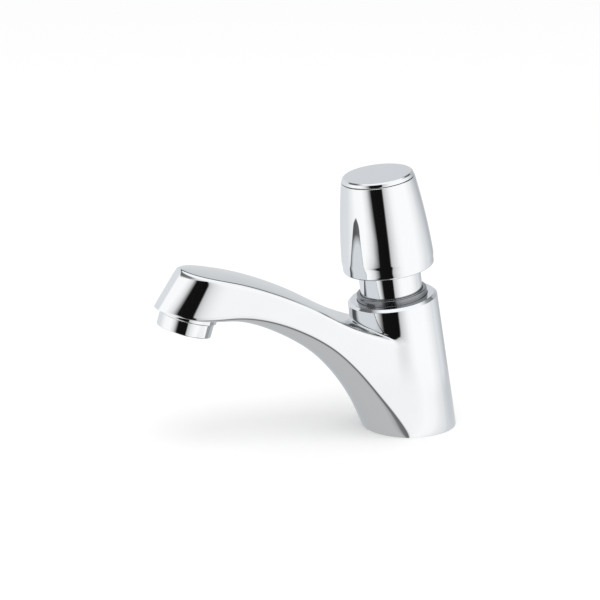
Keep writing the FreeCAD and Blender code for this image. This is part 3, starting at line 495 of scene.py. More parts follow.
@dataclass
class CastBody:
    """The leaning column and the spout cast with it, laid out as one cage of quads and subdivided.

    The cage follows the real form: rings up the column, and sections that fan out along the spout
    from the column's front to the rounded nose.
    """

    base_radius: float = 22.98
    rim_radius: float = 21.4
    rim_along: float = 65.4
    rim_bevel: float = 1.3
    counterbore: float = 16.85
    counterbore_floor: float = 53.0
    side_width: float = 22.95
    side_taper: float = 0.0548
    side_draft: float = 0.0275
    crown: float = 0.8
    nose_slope: float = math.radians(33.0)
    nose_reach: float = 126.1
    nose_height: float = 70.3
    nose_corner: float = 13.5
    # How much further back the nose's rounding starts along its lower edge
    nose_lengthen: float = 1.25
    fan_reach: float = 108.0
    sides: int = 32
    # How far from the ridges and the top edges the cage's next lines run, which sets their rounding
    ridge_round: float = 2.6
    edge_round: float = 3.3
    # How sharp the nose's edges stay when the cage is subdivided
    nose_hold: float = 0.55
    # The nose's rounding in plan: depth behind the front and draw of the sides, as shares of the corner
    nose_steps: tuple[Point, ...] = ((0.76, 0.0), (0.285, 0.285), (0.0, 0.76))
    # How far up the outlet's axis the nose's flat underside lies, and the reach at which it starts
    underside_along: float = 7.5
    underside_from: float = 96.0
    # The collar that comes down from the underside to the outlet ring, along the outlet's axis
    collar_radius: float = 13.9
    collar_low: float = 6.7
    collar_high: float = 11.0
    # The ring points that the spout's two ridges leave from
    first_root: int = 2
    last_root: int = 14
    # The least distance along the axis of the ring that follows the crest, and the crown's half width there
    crest_least: float = 44.0
    crest_half: float = 22.0
    # How much the cage stands out so that the subdivided belly lands on its line
    belly_swell: float = 1.0033
    # Belly distance from the fan's pivot by fan angle: along the middle and along the ridges
    belly_middle: tuple[Point, ...] = (
        (0, 85), (12, 79.3), (24, 74.5), (36, 70.8), (48, 67.2), (60, 65.2), (75, 63.8), (90, 61.8),
        (102, 63.5),
    )
    belly_ridge: tuple[Point, ...] = (
        (0, 100.5), (12, 88.8), (24, 82.4), (36, 78.2), (48, 73.8), (60, 70.6), (75, 67.4), (90, 64.2),
        (102, 65.5),
    )
    # Height of the spout's top by reach
    top: tuple[Point, ...] = (
        (-2, 41.6), (12, 47.8), (22, 51.9), (32, 55.4), (42, 60.5), (52, 66.7), (62, 71.8), (72, 76.3),
        (84, 80.8), (98, 84.8), (113, 87.9), (130, 90.6),
    )
    # Fan angle below and reach above of each section along the spout, then the reach of its middle
    sections: tuple[tuple[float, float, float], ...] = (
        (7.0, 18.8, 31.8), (13.5, 26.0, 37.0), (20.5, 35.0, 43.0), (28.0, 44.5, 50.0), (36.0, 54.0, 57.5),
        (44.0, 62.5, 65.0), (52.0, 70.0, 71.5), (60.0, 76.5, 77.5), (68.0, 82.0, 82.5), (76.0, 86.8, 87.0),
        (84.0, 91.5, 91.6),
    )

    def ring_radius(self, along: float) -> float:
        """The column's radius at a distance along its axis."""
        return self.base_radius + (self.rim_radius - self.base_radius) * along / self.rim_along

    def column_point(self, along: float, angle: float, radius: float | None = None) -> Vector:
        """A point of a leaning ring.

        Args:
            along: Distance up the leaning axis.
            angle: Degrees from +X towards the spout.
            radius: The ring's radius, or the cone's where left out.

        Returns:
            The point in millimetres.
        """
        wide = self.ring_radius(along) if radius is None else radius
        bearing = math.radians(angle)
        ahead = wide * math.sin(bearing)
        y = -along * math.sin(LEAN) - ahead * math.cos(LEAN)
        z = along * math.cos(LEAN) - ahead * math.sin(LEAN)
        return Vector((wide * math.cos(bearing), y, z))

    def side_at(self, reach: float, height: float) -> float:
        """Half the spout's width."""
        return self.side_width - self.side_taper * reach - self.side_draft * height

    def top_at(self, reach: float, share: float = 0.0) -> float:
        """The top's height, with the crown's drop at a share of the half width."""
        return between(self.top, reach) - self.crown * share * share

    def seam_at(self, reach: float) -> float:
        """Height of the flat underside round the outlet."""
        low = OUTLET_HEIGHT + self.underside_along * math.cos(OUTLET_TILT)
        start = OUTLET_REACH - self.underside_along * math.sin(OUTLET_TILT)
        return low + (reach - start) * math.tan(OUTLET_TILT)

    def crest_along(self, angle: float) -> float:
        """Find where a line up the column meets the spout's top.

        Args:
            angle: The line's place round the column, in degrees.

        Returns:
            The distance along the axis.
        """
        low, high = 30.0, 64.0
        for _ in range(40):
            middle = (low + high) / 2
            point = self.column_point(middle, angle)
            if point.z < self.top_at(-point.y, point.x / self.crest_half):
                low = middle
            else:
                high = middle
        return low

    def column_rows(self) -> list[list[Vector]]:
        """The column's rings from the base to the rim, as cage points.

        Returns:
            Nine rings of points. The sixth runs along the crest, where the spout's top meets the column.
        """
        step = 360 / self.sides
        # A subdivided ring shrinks by this much
        swell = 6 / (4 + 2 * math.cos(math.radians(step)))
        last = self.rim_along - self.rim_bevel
        roots = (self.first_root, self.last_root)
        # The belly's line where it meets the deck
        foot = self.fan_section(0.0, 9.0, 23.0)[0]
        rows: list[list[Vector]] = []
        for row in range(9):
            ring = []
            for i in range(self.sides):
                angle = i * step
                crest = max(self.crest_along(angle), self.crest_least) if angle <= 180 else self.crest_least
                above = crest + 1.8
                along = (0.0, 7.0, 20.0, 33.0, crest - 3.8, crest, above, (above + last) / 2, last)[row]
                wide = self.ring_radius(along) * swell
                if row == 0:
                    along = wide * math.sin(math.radians(angle)) * math.tan(LEAN)
                point = self.column_point(along, angle, wide)
                if row == 0:
                    point = foot[i - roots[0]].copy() if roots[0] <= i <= roots[1] else point
                    point.z = 0.0
                elif i in roots and row <= 5:
                    point.x = math.copysign(self.side_at(-point.y, point.z), point.x)
                    if row == 5:
                        point.z = self.top_at(-point.y, 1.0)
                ring.append(point)
            rows.append(ring)
        return rows

    def side_line(self, low: Vector, high: Vector) -> list[Vector]:
        """Four points up a flat side between the ridge and the top edge."""
        line = high - low
        length = line.length
        near, far = min(self.ridge_round, 0.22 * length), min(self.edge_round, 0.22 * length)
        third = (length - near - far) / 3
        places = (near, near + third, near + 2 * third, length - far)
        return [low + line * (place / length) for place in places]

    def spread(self, wide: float, support: float) -> list[float]:
        """Where a section's thirteen points stand across it.

        Args:
            wide: Half its width.
            support: How far in from each edge the next point stands.

        Returns:
            Shares of the half width, from 1 to -1.
        """
        inner = 1 - support / wide
        return [1.0, *(inner * (1 - i / 5) for i in range(11)), -1.0]

    def fan_section(self, angle: float, reach: float, middle: float) -> tuple[list[Vector], list[Vector]]:
        """One section of the spout.

        Args:
            angle: The fan's angle at the belly, in degrees.
            reach: How far out the top edges are.
            middle: How far out the top's middle is.

        Returns:
            Thirteen points across the belly and thirteen across the top, from +X to -X.
        """
        swing = math.radians(angle)
        far = between(self.belly_ridge, angle) * self.belly_swell
        near = between(self.belly_middle, angle) * self.belly_swell
        wide = self.side_at(self.fan_reach - far * math.cos(swing), far * math.sin(swing))
        bow = far - near
        radius = (wide * wide + bow * bow) / (2 * bow)
        half = math.asin(min(wide / radius, 1.0))
        belly = []
        for share in self.spread(wide, self.ridge_round):
            distance = near + radius * (1 - math.cos(half * share))
            y = self.fan_reach - distance * math.cos(swing)
            z = distance * math.sin(swing)
            z = max(z, self.seam_at(y)) if y > self.underside_from else z
            belly.append(Vector((radius * math.sin(half * share), -y, z)))
        edge = self.side_at(reach, self.top_at(reach, 1.0))
        top = []
        for share in self.spread(edge, self.edge_round):
            out = reach + (middle - reach) * (1 - share * share)
            top.append(Vector((edge * share, -out, self.top_at(out, share))))
        return belly, top

    def nose_section(self, depth: float, pull: float) -> tuple[list[Vector], list[Vector]]:
        """One section parallel to the nose's front.

        Args:
            depth: Distance behind the front.
            pull: How far its sides are drawn in.

        Returns:
            Thirteen points across the underside and thirteen across the top.
        """
        slope = math.tan(self.nose_slope)

        def meet(height_at: Callable[[float], float], stretch: float = 1.0) -> Point:
            """Where the section meets a surface, as reach and height."""
            front = self.nose_reach - stretch * depth / math.cos(self.nose_slope)
            height = self.nose_height
            for _ in range(30):
                height = height_at(front - (height - self.nose_height) * slope)
            return front - (height - self.nose_height) * slope, height

        low_reach, low = meet(self.seam_at, self.nose_lengthen)
        wide = self.side_at(low_reach, low) - pull
        shares = self.spread(wide, min(self.ridge_round, 0.3 * wide))
        belly = [Vector((wide * share, -low_reach, low)) for share in shares]
        top = []
        for share in self.spread(wide, min(self.edge_round, 0.4 * wide)):
            reach, high = meet(lambda out, part=share: self.top_at(out, part))
            top.append(Vector(((self.side_at(reach, high) - pull) * share, -reach, high)))
        return belly, top

    def cage(self) -> bpy.types.Object:
        """Lay out the cage as a mesh, with its ridges and edges held sharp.

        Returns:
            The cage, open at the base and at the rim.
        """
        grid = bmesh.new()
        hold = grid.edges.layers.float.new("crease_edge")
        first, last = self.first_root, self.last_root
        across = last - first

        def lay(points: list[Vector]) -> list[bmesh.types.BMVert]:
            """Add a line of cage points, given in millimetres."""
            return [grid.verts.new(point * MM) for point in points]

        def skin(line: list[bmesh.types.BMVert], fresh: list[bmesh.types.BMVert]) -> None:
            """Lay quads between two lines of cage points."""
            for quad in zip(line, line[1:], fresh[1:], fresh):
                grid.faces.new(quad)

        rows = [lay(ring) for ring in self.column_rows()]
        for row, (low, high) in enumerate(zip(rows, rows[1:])):
            for i in range(self.sides):
                if row >= 5 or not first <= i < last:
                    j = (i + 1) % self.sides
                    grid.faces.new((low[i], low[j], high[j], high[i]))
        belly, top = rows[0][first : last + 1], rows[5][first : last + 1]
        sides = [[rows[row][root] for row in range(1, 5)] for root in (first, last)]
        laid = [self.fan_section(*section) for section in self.sections]
        corner = self.nose_corner
        laid += [self.nose_section(deep * corner, pull * corner) for deep, pull in self.nose_steps]
        for belly_points, top_points in laid:
            new_belly, new_top = lay(belly_points), lay(top_points)
            new_sides = [lay(self.side_line(belly_points[end], top_points[end])) for end in (0, -1)]
            skin(belly, new_belly)
            skin(top, new_top)
            for end, old, new in zip((0, -1), sides, new_sides):
                skin([belly[end], *old, top[end]], [new_belly[end], *new, new_top[end]])
            belly, top, sides = new_belly, new_top, new_sides
        front = [belly]
        for start, end in zip(*sides):
            inner = [grid.verts.new(start.co.lerp(end.co, c / across)) for c in range(1, across)]
            front.append([start, *inner, end])
        front.append(top)
        for low, high in zip(front, front[1:]):
            skin(low, high)
        for line in (belly, top):
            for start, end in zip(line, line[1:]):
                grid.edges.get((start, end))[hold] = self.nose_hold
        loose = [v for v in grid.verts if not v.link_faces]
        bmesh.ops.delete(grid, geom=loose, context="VERTS")
        bmesh.ops.recalc_face_normals(grid, faces=grid.faces)
        mesh = bpy.data.meshes.new("tap_body_casting")
        grid.to_mesh(mesh)
        grid.free()
        piece = bpy.data.objects.new("tap_body_casting", mesh)
        bpy.context.scene.collection.objects.link(piece)
        return piece

    def build(self) -> None:
        """Make the casting and the collar that the outlet ring meets."""
        piece = self.cage()
        apply_modifier(piece, "SUBSURF", {"levels": 3, "render_levels": 3})
        self.add_rim(piece)
        self.add_foot(piece)
        smooth(piece, 50)
        finish_piece(piece, "chrome_brass", Body.TAP, ("tap_body",))
        high, radius, low = self.collar_high, self.collar_radius, self.collar_low
        outline = soften([(0, high), (radius, high), (radius, low), (0, low)], 0.25)
        collar = turn("outlet_collar", outline, Axis.OUTLET, closed=False)
        finish_piece(collar, "chrome_brass", Body.TAP)

    def pick_ring(self, piece: bpy.types.Object, high: bool) -> None:
        """Go into edit mode and select an open ring of the casting.

        Args:
            piece: The casting.
            high: True for the ring at the rim, False for the one at the base.
        """
        pick(piece)
        bpy.ops.object.mode_set(mode="EDIT")
        bpy.ops.mesh.select_mode(type="EDGE")
        bpy.ops.mesh.select_all(action="DESELECT")
        grid = bmesh.from_edit_mesh(piece.data)
        halfway = self.rim_along / 2 * MM
        for edge in grid.edges:
            if edge.is_boundary and (edge.verts[0].co.z > halfway) == high:
                edge.select = True
        bmesh.update_edit_mesh(piece.data)

    def add_rim(self, piece: bpy.types.Object) -> None:
        """Extrude the rim: its bevel, the flat land and the counterbore for the ring round the neck.

        Args:
            piece: The casting, open at the rim.
        """
        self.pick_ring(piece, True)
        shoulder = self.rim_along - self.rim_bevel
        outline = [
            (self.rim_radius + 0.05, shoulder - 1.0),
            (self.rim_radius, shoulder),
            (self.rim_radius - self.rim_bevel, self.rim_along),
            (self.counterbore, self.rim_along),
            (self.counterbore, self.counterbore_floor),
            (ON_AXIS, self.counterbore_floor),
        ]
        way = Vector((0, -math.sin(LEAN), math.cos(LEAN)))
        grid = bmesh.from_edit_mesh(piece.data)
        ring = [v for v in grid.verts if v.select]
        now = sum((v.co - way * shoulder * MM).length for v in ring) / len(ring) / MM
        height = shoulder
        # The first three points are left out, because the column's last ring stands there
        for radius, level in soften(outline, 0.35)[3:]:
            extrude_ring(way, (height, level), (radius / now,) * 3)
            now, height = radius, level
        bpy.ops.mesh.merge(type="COLLAPSE")
        bpy.ops.object.mode_set(mode="OBJECT")

    def add_foot(self, piece: bpy.types.Object) -> None:
        """Extrude the base: lines that keep its edge crisp, the flat foot and the gasket's recess.

        Args:
            piece: The casting, open at the base.
        """
        self.pick_ring(piece, False)
        # Each step's share of the base ring's size, and its height
        steps = ((0.998, 0.0), (0.985, 0.0), (0.87, 0.0), (0.868, 0.1), (0.868, 2.3), (0.86, 2.5), (0.3, 2.5))
        now, height = 1.0, 0.0
        for size, level in steps:
            extrude_ring(UP, (height, level), (size / now, size / now, 1))
            now, height = size, level
        bpy.ops.mesh.edge_face_add()
        face_outwards()


@dataclass
class Knob:
    """The hollow push knob and its top disc."""

    foot: float = 80.1
    foot_radius: float = 21.65
    # The foot's inner edge, and the height of the straight run above the foot
    foot_bore: float = 19.85
    foot_run: float = 3.0
    # The barrel's outer radius at three places along the axis
    belly: float = 86.0
    belly_radius: float = 21.85
    middle: float = 105.0
    middle_radius: float = 20.2
    top: float = 123.65
    top_radius: float = 17.45
    wall: float = 2.0
    # The flat that the disc lies on, and the head's underside
    deck: float = 121.65
    ceiling: float = 119.45
    # The boss that the screw draws onto the spindle
    screw_hole: float = 2.2
    boss_bore: float = 4.1
    boss_radius: float = 7.0
    boss_foot: float = 108.0
    disc_radius: float = 17.3
    disc_height: float = 2.2

    def side_radius(self, at: float) -> float:
        """The barrel's outer radius at a place along the axis, on a bow through its three radii."""
        a, b, c = (
            (self.belly, self.belly_radius), (self.middle, self.middle_radius), (self.top, self.top_radius),
        )
        value = 0.0
        for p, q, r in ((a, b, c), (b, a, c), (c, a, b)):
            value += p[1] * (at - q[0]) * (at - r[0]) / ((p[0] - q[0]) * (p[0] - r[0]))
        return value

    def bowed(self, inset: float, low: float, high: float, steps: int) -> list[Point]:
        """The barrel's side.

        Args:
            inset: How far inside the outer side it runs.
            low: Where it starts, along the axis.
            high: Where it ends.
            steps: How many runs it has.

        Returns:
            (radius, height) from low to high.
        """
        places = [low + (high - low) * i / steps for i in range(steps + 1)]
        return [(self.side_radius(at) - inset, at) for at in places]

    def build(self) -> None:
        """Make the shell and the disc."""
        self.shell()
        self.disc()

    def shell(self) -> None:
        """Make the hollow barrel, with its rolled foot and the boss inside."""
        inner, run = self.top_radius - self.wall, self.foot + self.foot_run
        roll = [
            (self.side_radius(self.foot) - self.wall, run),
            (self.foot_bore, self.foot),
            (self.foot_radius, self.foot),
            (self.foot_radius, run),
        ]
        side = self.bowed(0.0, self.belly - 1.0, self.top - 0.6, 22)
        head = [
            side[-1],
            (self.top_radius, self.top),
            (inner, self.top),
            (inner, self.deck),
            (self.screw_hole, self.deck),
        ]
        under = [
            (self.screw_hole, self.ceiling),
            (self.boss_bore, self.ceiling),
            (self.boss_bore, self.boss_foot),
            (self.boss_radius, self.boss_foot),
            (self.boss_radius, self.ceiling - 0.45),
            (self.boss_radius + 0.5, self.ceiling),
            (inner - 0.05, self.ceiling),
            (inner + 0.4, self.ceiling - 0.55),
        ]
        inside = self.bowed(self.wall, self.belly, 118.0, 12)[::-1]
        points = soften(roll, 0.8) + side + soften(head, 0.3)[1:] + under + inside
        shell = turn("knob_shell_barrel", points, Axis.LEANING, sides=256)
        finish_piece(shell, "chrome_brass", Body.PUSH, ("knob_shell",))

    def disc(self) -> None:
        """Make the disc, with the spigot that sits in the head and the thin seam under its edge."""
        spigot, seat = self.top_radius - self.wall - 0.1, self.deck + 0.1
        low = self.top + 0.15
        high = low + self.disc_height
        outline = [
            (0, seat),
            (spigot, seat),
            (spigot, low),
            (self.disc_radius, low),
            (self.disc_radius - 0.5, high - 0.6),
            (self.disc_radius - 1.2, high),
            (0, high),
        ]
        disc = turn("knob_top_cover", soften(outline, 0.35), Axis.LEANING, closed=False, sides=256)
        finish_piece(disc, "chrome_brass", Body.PUSH, ("knob_top_disc",))


@dataclass
class Neck:
    """The fixed neck that the knob slides over, and the low ring that clamps it in the body."""

    radius: float = 14.8
    top: float = 90.0
    # The wide bore above, down to the chamber, and the narrow one for the spindle's bush below
    bore: float = 12.0
    chamber: float = 84.0
    bush_bore: float = 6.5
    flange_radius: float = 16.4
    flange: float = 56.5
    foot: float = 53.0
    gap: float = 0.1
    ring_radius: float = 16.75
    ring_top: float = 68.2

    def build(self) -> None:
        """Make the neck and the ring."""
        neck = [
            (self.bore, self.chamber),
            (self.bore, self.top),
            (self.radius, self.top),
            (self.radius, self.flange),
            (self.flange_radius, self.flange),
            (self.flange_radius, self.foot),
            (self.bush_bore, self.foot),
            (self.bush_bore, self.chamber),
        ]
        sleeve = turn("neck_sleeve", soften_loop(neck, 0.5), Axis.LEANING)
        finish_piece(sleeve, "chrome_brass", Body.TAP, ("guide_sleeve",))
        bore, low = self.radius + self.gap, self.flange + self.gap
        wide, high = self.ring_radius, self.ring_top
        ring = [(bore, 60), (bore, low), (wide, low), (wide, high), (bore, high)]
        nut = turn("neck_ring", soften_loop(ring, 0.45), Axis.LEANING)
        finish_piece(nut, "chrome_brass", Body.TAP, ("retaining_nut",), DARKER_HAZIER_PLATE)


@dataclass
class Outlet:
    """The round outlet ring under the nose, with the spigot that screws into the body."""

    radius: float = 13.0
    lip: float = 8.8
    lip_height: float = 1.5
    bore: float = 10.0
    shoulder: float = 6.6
    spigot_radius: float = 11.4
    spigot_top: float = 12.2

    def build(self) -> None:
        """Make the outlet ring."""
        outline = [
            (self.bore, 6),
            (self.bore, self.lip_height),
            (self.lip, self.lip_height),
            (self.lip, 0),
            (self.radius, 0),
            (self.radius, self.shoulder),
            (self.spigot_radius, self.shoulder),
            (self.spigot_radius, self.spigot_top),
            (self.bore, self.spigot_top),
        ]
        ring = turn("outlet_ring", soften_loop(outline, 0.4), Axis.OUTLET)
        finish_piece(ring, "chrome_brass", Body.TAP, ("aerator_housing",))


@dataclass
class Tail:
    """The threaded tail under the deck and what clamps the tap there."""

    radius: float = 10.4775
    length: float = 58.0
    pitch: float = 1.814
    depth: float = 1.16
    top: float = 8.0
    # The wide bore at the foot for the inlet filter, and the narrow one above it
    bore: float = 8.3
    bore_top: float = -40.0
    waterway: float = 6.5
    nut_low: float = -39.45
    nut_high: float = -30.55
    nut_flats: float = 27.0

    @property
    def root(self) -> float:
        """The radius at the bottom of the thread."""
        return self.radius - self.depth

    def build(self) -> None:
        """Make the tail's tube, its thread, and the fixings."""
        outline = [
            (self.bore, self.bore_top),
            (self.bore, -self.length),
            (self.root, -self.length),
            (self.root, self.top),
            (self.waterway, self.top),
            (self.waterway, self.bore_top),
        ]
        tube = turn("tail_tube", soften_loop(outline, 0.3), Axis.UPRIGHT, sides=96)
        finish_piece(tube, "raw_brass", Body.TAP, ("inlet_shank",))
        self.thread()
        hole = self.radius + 0.3
        for name, node, slot, outer, low, high, edge in (
            ("deck_gasket", "base_gasket", "black_rubber", 19.3, 0.05, 2.45, 0.3),
            ("rubber_backing_washer", "rubber_washer", "black_rubber", 21.45, -28.95, -26.05, 0.7),
            ("steel_backing_plate", "clamp_plate", "stainless", 21.45, -30.45, -29.05, 0.35),
        ):
            flat = [(hole, (low + high) / 2), (hole, low), (outer, low), (outer, high), (hole, high)]
            washer = turn(name, soften_loop(flat, edge), Axis.UPRIGHT, sides=128)
            finish_piece(washer, slot, Body.TAP, (node,))
        self.nut()

    def thread(self) -> None:
        """Wind one thread ridge round the tail."""
        clear_selection()
        bpy.ops.mesh.primitive_plane_add(size=MM, location=(0, 0, 0))
        piece = bpy.context.object
        piece.name = piece.data.name = "tail_thread"
        bpy.ops.object.mode_set(mode="EDIT")
        bpy.ops.mesh.delete(type="ONLY_FACE")
        # The plane's four edges become the ridge's section, which starts 1 mm above the tail's end
        low, foot, crest = 1.0 - self.length, self.root - 0.3, self.radius - 0.02
        flank = 0.42 * self.pitch
        high = low + self.pitch
        shape = ((foot, low), (crest, low + flank), (crest, high - flank), (foot, high))
        grid = bmesh.from_edit_mesh(piece.data)
        grid.verts.ensure_lookup_table()
        order = [grid.verts[0]]
        while len(order) < len(shape):
            last = order[-1]
            order.append(next(e.other_vert(last) for e in last.link_edges if e.other_vert(last) not in order))
        for vert, (radius, height) in zip(order, shape):
            vert.co = Vector((radius, 0, height)) * MM
        bmesh.update_edit_mesh(piece.data)
        bpy.ops.object.mode_set(mode="OBJECT")
        screw = {
            "axis": "Z",
            "angle": 2 * math.pi,
            "screw_offset": self.pitch * MM,
            "iterations": int((self.length + 3.0) / self.pitch),
            "steps": 64,
            "render_steps": 64,
            "use_merge_vertices": True,
            "merge_threshold": 1e-6,
        }
        apply_modifier(piece, "SCREW", screw)
        bpy.ops.object.mode_set(mode="EDIT")
        bpy.ops.mesh.select_all(action="DESELECT")
        bpy.ops.mesh.select_mode(type="EDGE")
        bpy.ops.mesh.select_non_manifold(extend=False)
        bpy.ops.mesh.edge_face_add()
        face_outwards()
        smooth(piece, 35)
        finish_piece(piece, "raw_brass", Body.TAP)

    def nut(self) -> None:
        """Make the hexagon backnut with chamfered corners."""
        clear_selection()
        low, high = self.nut_low, self.nut_high
        corner = self.nut_flats / math.sqrt(3) - 0.05
        bpy.ops.mesh.primitive_cylinder_add(
            vertices=6,
            radius=corner * MM,
            depth=(high - low) * MM,
            location=(0, 0, (low + high) / 2 * MM),
            rotation=(0, 0, math.radians(30)),
        )
        piece = bpy.context.object
        piece.name = piece.data.name = "hexagon_backnut"
        bpy.ops.object.transform_apply(location=True, rotation=True, scale=True)
        hole, face, wide = self.radius + 0.1, self.nut_flats / 2 - 0.3, corner + 0.2
        lathe = [
            (hole, low - 1), (face, low - 1), (face, low), (wide, low + 1.3),
            (wide, high - 1.3), (face, high), (face, high + 1), (hole, high + 1),
        ]
        cutter = turn("nut_chamfer", lathe, Axis.UPRIGHT, sides=128)
        apply_modifier(piece, "BOOLEAN", {"operation": "INTERSECT", "object": cutter, "solver": "EXACT"})
        bpy.data.objects.remove(cutter, do_unlink=True)
        edges = {"limit_method": "ANGLE", "angle_limit": math.radians(25)}
        apply_modifier(piece, "BEVEL", {"width": 0.25 * MM, "segments": 2, **edges})
        smooth(piece, 35)
        finish_piece(piece, "raw_brass", Body.TAP, ("backnut",))


@dataclass
class Studio:
    """The pale floor, the soft surround and the camera at the photograph's angle."""

    azimuth: float = 70.0
    elevation: float = 16.234
    distance: float = 1.2
    target: tuple[float, float, float] = (0.0, -0.05557, 0.066997)
    lens: float = 153.216
    # What polished metal sees round the tap, by azimuth in degrees: white boards to the left and
    # right, grey behind, and the dark gap that the camera stands in
    surround: tuple[Point, ...] = (
        (-180, 1.04), (-165, 0.82), (-152, 0.62), (-140, 0.64), (-116, 0.78), (-106, 0.86), (-90, 0.92),
        (-70, 1.0), (-54, 1.02), (-40, 1.14), (-20, 1.36), (8, 1.38), (17, 1.22), (26, 0.97), (34, 0.46),
        (41, 0.009), (77, 0.007), (80, 0.75), (88, 1.0), (94, 1.14), (101, 1.3), (112, 1.38), (150, 1.38),
        (163, 1.27), (180, 1.08),
    )
    # How many degrees up the boards give way to a slot, and the slot to a white ceiling
    boards_end: Point = (29.0, 32.0)
    slot_ends: Point = (46.0, 57.0)
    ceiling: Colour = (1.34, 1.36, 1.38, 1.0)
    # The slot, dark but for the right-hand side
    slot: tuple[Point, ...] = (
        (-180, 0.5), (-150, 0.16), (-95, 0.14), (-15, 0.2), (12, 0.3), (34, 0.9), (60, 1.1), (90, 1.3),
        (150, 1.3), (180, 0.5),
    )
    # The white sheet under the tap that metal sees, by azimuth about the foot of the near ridge. It glows
    # brighter than white to the right, and the tap's own shade is painted on it: darker under the spout, with
    # a dark wedge where the near ridge's shadow falls
    near_sheet_painted_shade: tuple[Point, ...] = (
        (-180, 0.98), (-165, 0.82), (-120, 0.65), (-60, 0.61), (-30, 0.66), (0, 0.67), (14, 0.55), (24, 0.24),
        (62, 0.18), (74, 0.8), (88, 1.26), (104, 1.28), (126, 1.36), (150, 1.32), (166, 1.16), (180, 1.02),
    )
    ridge_foot: tuple[float, float, float] = (0.021, -0.008, 0.0)
    # How many metres from the tap's foot the sheet gives way to the studio round it
    sheet_ends: Point = (0.105, 0.15)
    # How many degrees further right the dark gap's edges stand, by degrees below the horizon
    left_edge: tuple[Point, ...] = ((0, 0), (12, 12), (16.5, 10.5), (20.5, 0), (24, 0), (27, 9), (60, 9))
    right_edge: tuple[Point, ...] = ((0, 0), (13, 0), (16.5, 4), (60, 3))
    # The plain light on what isn't polished, and the floor's own light towards the camera
    daylight: float = 0.86
    lift: float = 0.14

    def seen_light(
        self,
        tree: bpy.types.NodeTree,
        way: bpy.types.NodeSocket,
        table: tuple[Point, ...],
        lean: bool = False,
    ) -> bpy.types.NodeSocket:
        """The brightness in a direction.

        Args:
            tree: The node tree.
            way: The direction from the tap.
            table: Brightness by azimuth.
            lean: Whether the dark gap's edges turn for directions below the horizon.

        Returns:
            The brightness as a colour.
        """
        split = add_node(tree, "ShaderNodeSeparateXYZ", links={"Vector": way})
        back = add_node(tree, "ShaderNodeMath", {"operation": "MULTIPLY", 1: -1.0}, {0: split.outputs["Y"]})
        axes = {0: split.outputs["X"], 1: back.outputs[0]}
        angle = add_node(tree, "ShaderNodeMath", {"operation": "ARCTAN2"}, axes)
        if lean:
            depth = {"From Min": 0.0, "From Max": -1.0}
            sink = add_node(tree, "ShaderNodeMapRange", depth, {"Value": split.outputs["Z"]})
            turns = []
            for edge in (self.left_edge, self.right_edge):
                stops = [(math.sin(math.radians(down)), math.radians(swing), 0.0) for down, swing in edge]
                ramp = add_node(tree, "ShaderNodeValToRGB", {"stops": stops}, {"Fac": sink.outputs["Result"]})
                turns.append(ramp.outputs["Color"])
            # Both edges turn by themselves, and the dark between them hides where one gives way to the other
            within = {"From Min": math.radians(50), "From Max": math.radians(70)}
            side = add_node(tree, "ShaderNodeMapRange", within, {"Value": angle.outputs[0]})
            both = {0: side.outputs["Result"], 2: turns[0], 3: turns[1]}
            turned = add_node(tree, "ShaderNodeMix", {"data_type": "FLOAT"}, both)
            less = {0: angle.outputs[0], 1: turned.outputs[0]}
            angle = add_node(tree, "ShaderNodeMath", {"operation": "SUBTRACT"}, less)
        span = {"From Min": -math.pi, "From Max": math.pi}
        share = add_node(tree, "ShaderNodeMapRange", span, {"Value": angle.outputs[0]})
        # The far side of the studio is a little cooler than the side that the tap's flank faces
        stops = [((around + 180) / 360, light, 0.025 if around < -40 else -0.006) for around, light in table]
        ramp = add_node(tree, "ShaderNodeValToRGB", {"stops": stops}, {"Fac": share.outputs["Result"]})
        return ramp.outputs["Color"]

    def build(self) -> None:
        """Make the floor, world, lamp and camera."""
        self.world()
        self.floor()
        self.lamp()
        self.camera()

    def world(self) -> None:
        """White for the camera and for shading, and the surround for polished metal."""
        world = bpy.data.worlds.new("studio")
        bpy.context.scene.world = world
        world.use_nodes = True
        tree = world.node_tree
        tree.nodes.clear()
        way = add_node(tree, "ShaderNodeTexCoord").outputs["Generated"]
        around = self.seen_light(tree, way, self.surround, True)
        split = add_node(tree, "ShaderNodeSeparateXYZ", links={"Vector": way})
        above = {"data_type": "RGBA"}, self.seen_light(tree, way, self.slot)
        over = {"data_type": "RGBA", 7: self.ceiling}, None
        for degrees, (settings, light) in ((self.boards_end, above), (self.slot_ends, over)):
            low, high = (math.sin(math.radians(up)) for up in degrees)
            rise = {"From Min": low, "From Max": high}
            share = add_node(tree, "ShaderNodeMapRange", rise, {"Value": split.outputs["Z"]})
            links = {0: share.outputs["Result"], 6: around, **({7: light} if light else {})}
            around = add_node(tree, "ShaderNodeMix", settings, links).outputs[2]
        rays = add_node(tree, "ShaderNodeLightPath")
        glossy = add_node(tree, "ShaderNodeBackground", {"Strength": 1.0}, {"Color": around})
        white = {"Color": (1, 1, 1, 1)}
        plain = add_node(tree, "ShaderNodeBackground", {**white, "Strength": self.daylight})
        clean = add_node(tree, "ShaderNodeBackground", {**white, "Strength": 1.0})
        lights = {0: rays.outputs["Is Glossy Ray"], 1: plain.outputs[0], 2: glossy.outputs[0]}
        mixed = add_node(tree, "ShaderNodeMixShader", links=lights)
        straight = {0: rays.outputs["Is Camera Ray"], 1: rays.outputs["Is Transmission Ray"]}
        through = add_node(tree, "ShaderNodeMath", {"operation": "MAXIMUM"}, straight)
        parts = {0: through.outputs[0], 1: mixed.outputs[0], 2: clean.outputs[0]}
        final = add_node(tree, "ShaderNodeMixShader", links=parts)
        add_node(tree, "ShaderNodeOutputWorld", links={"Surface": final.outputs[0]})

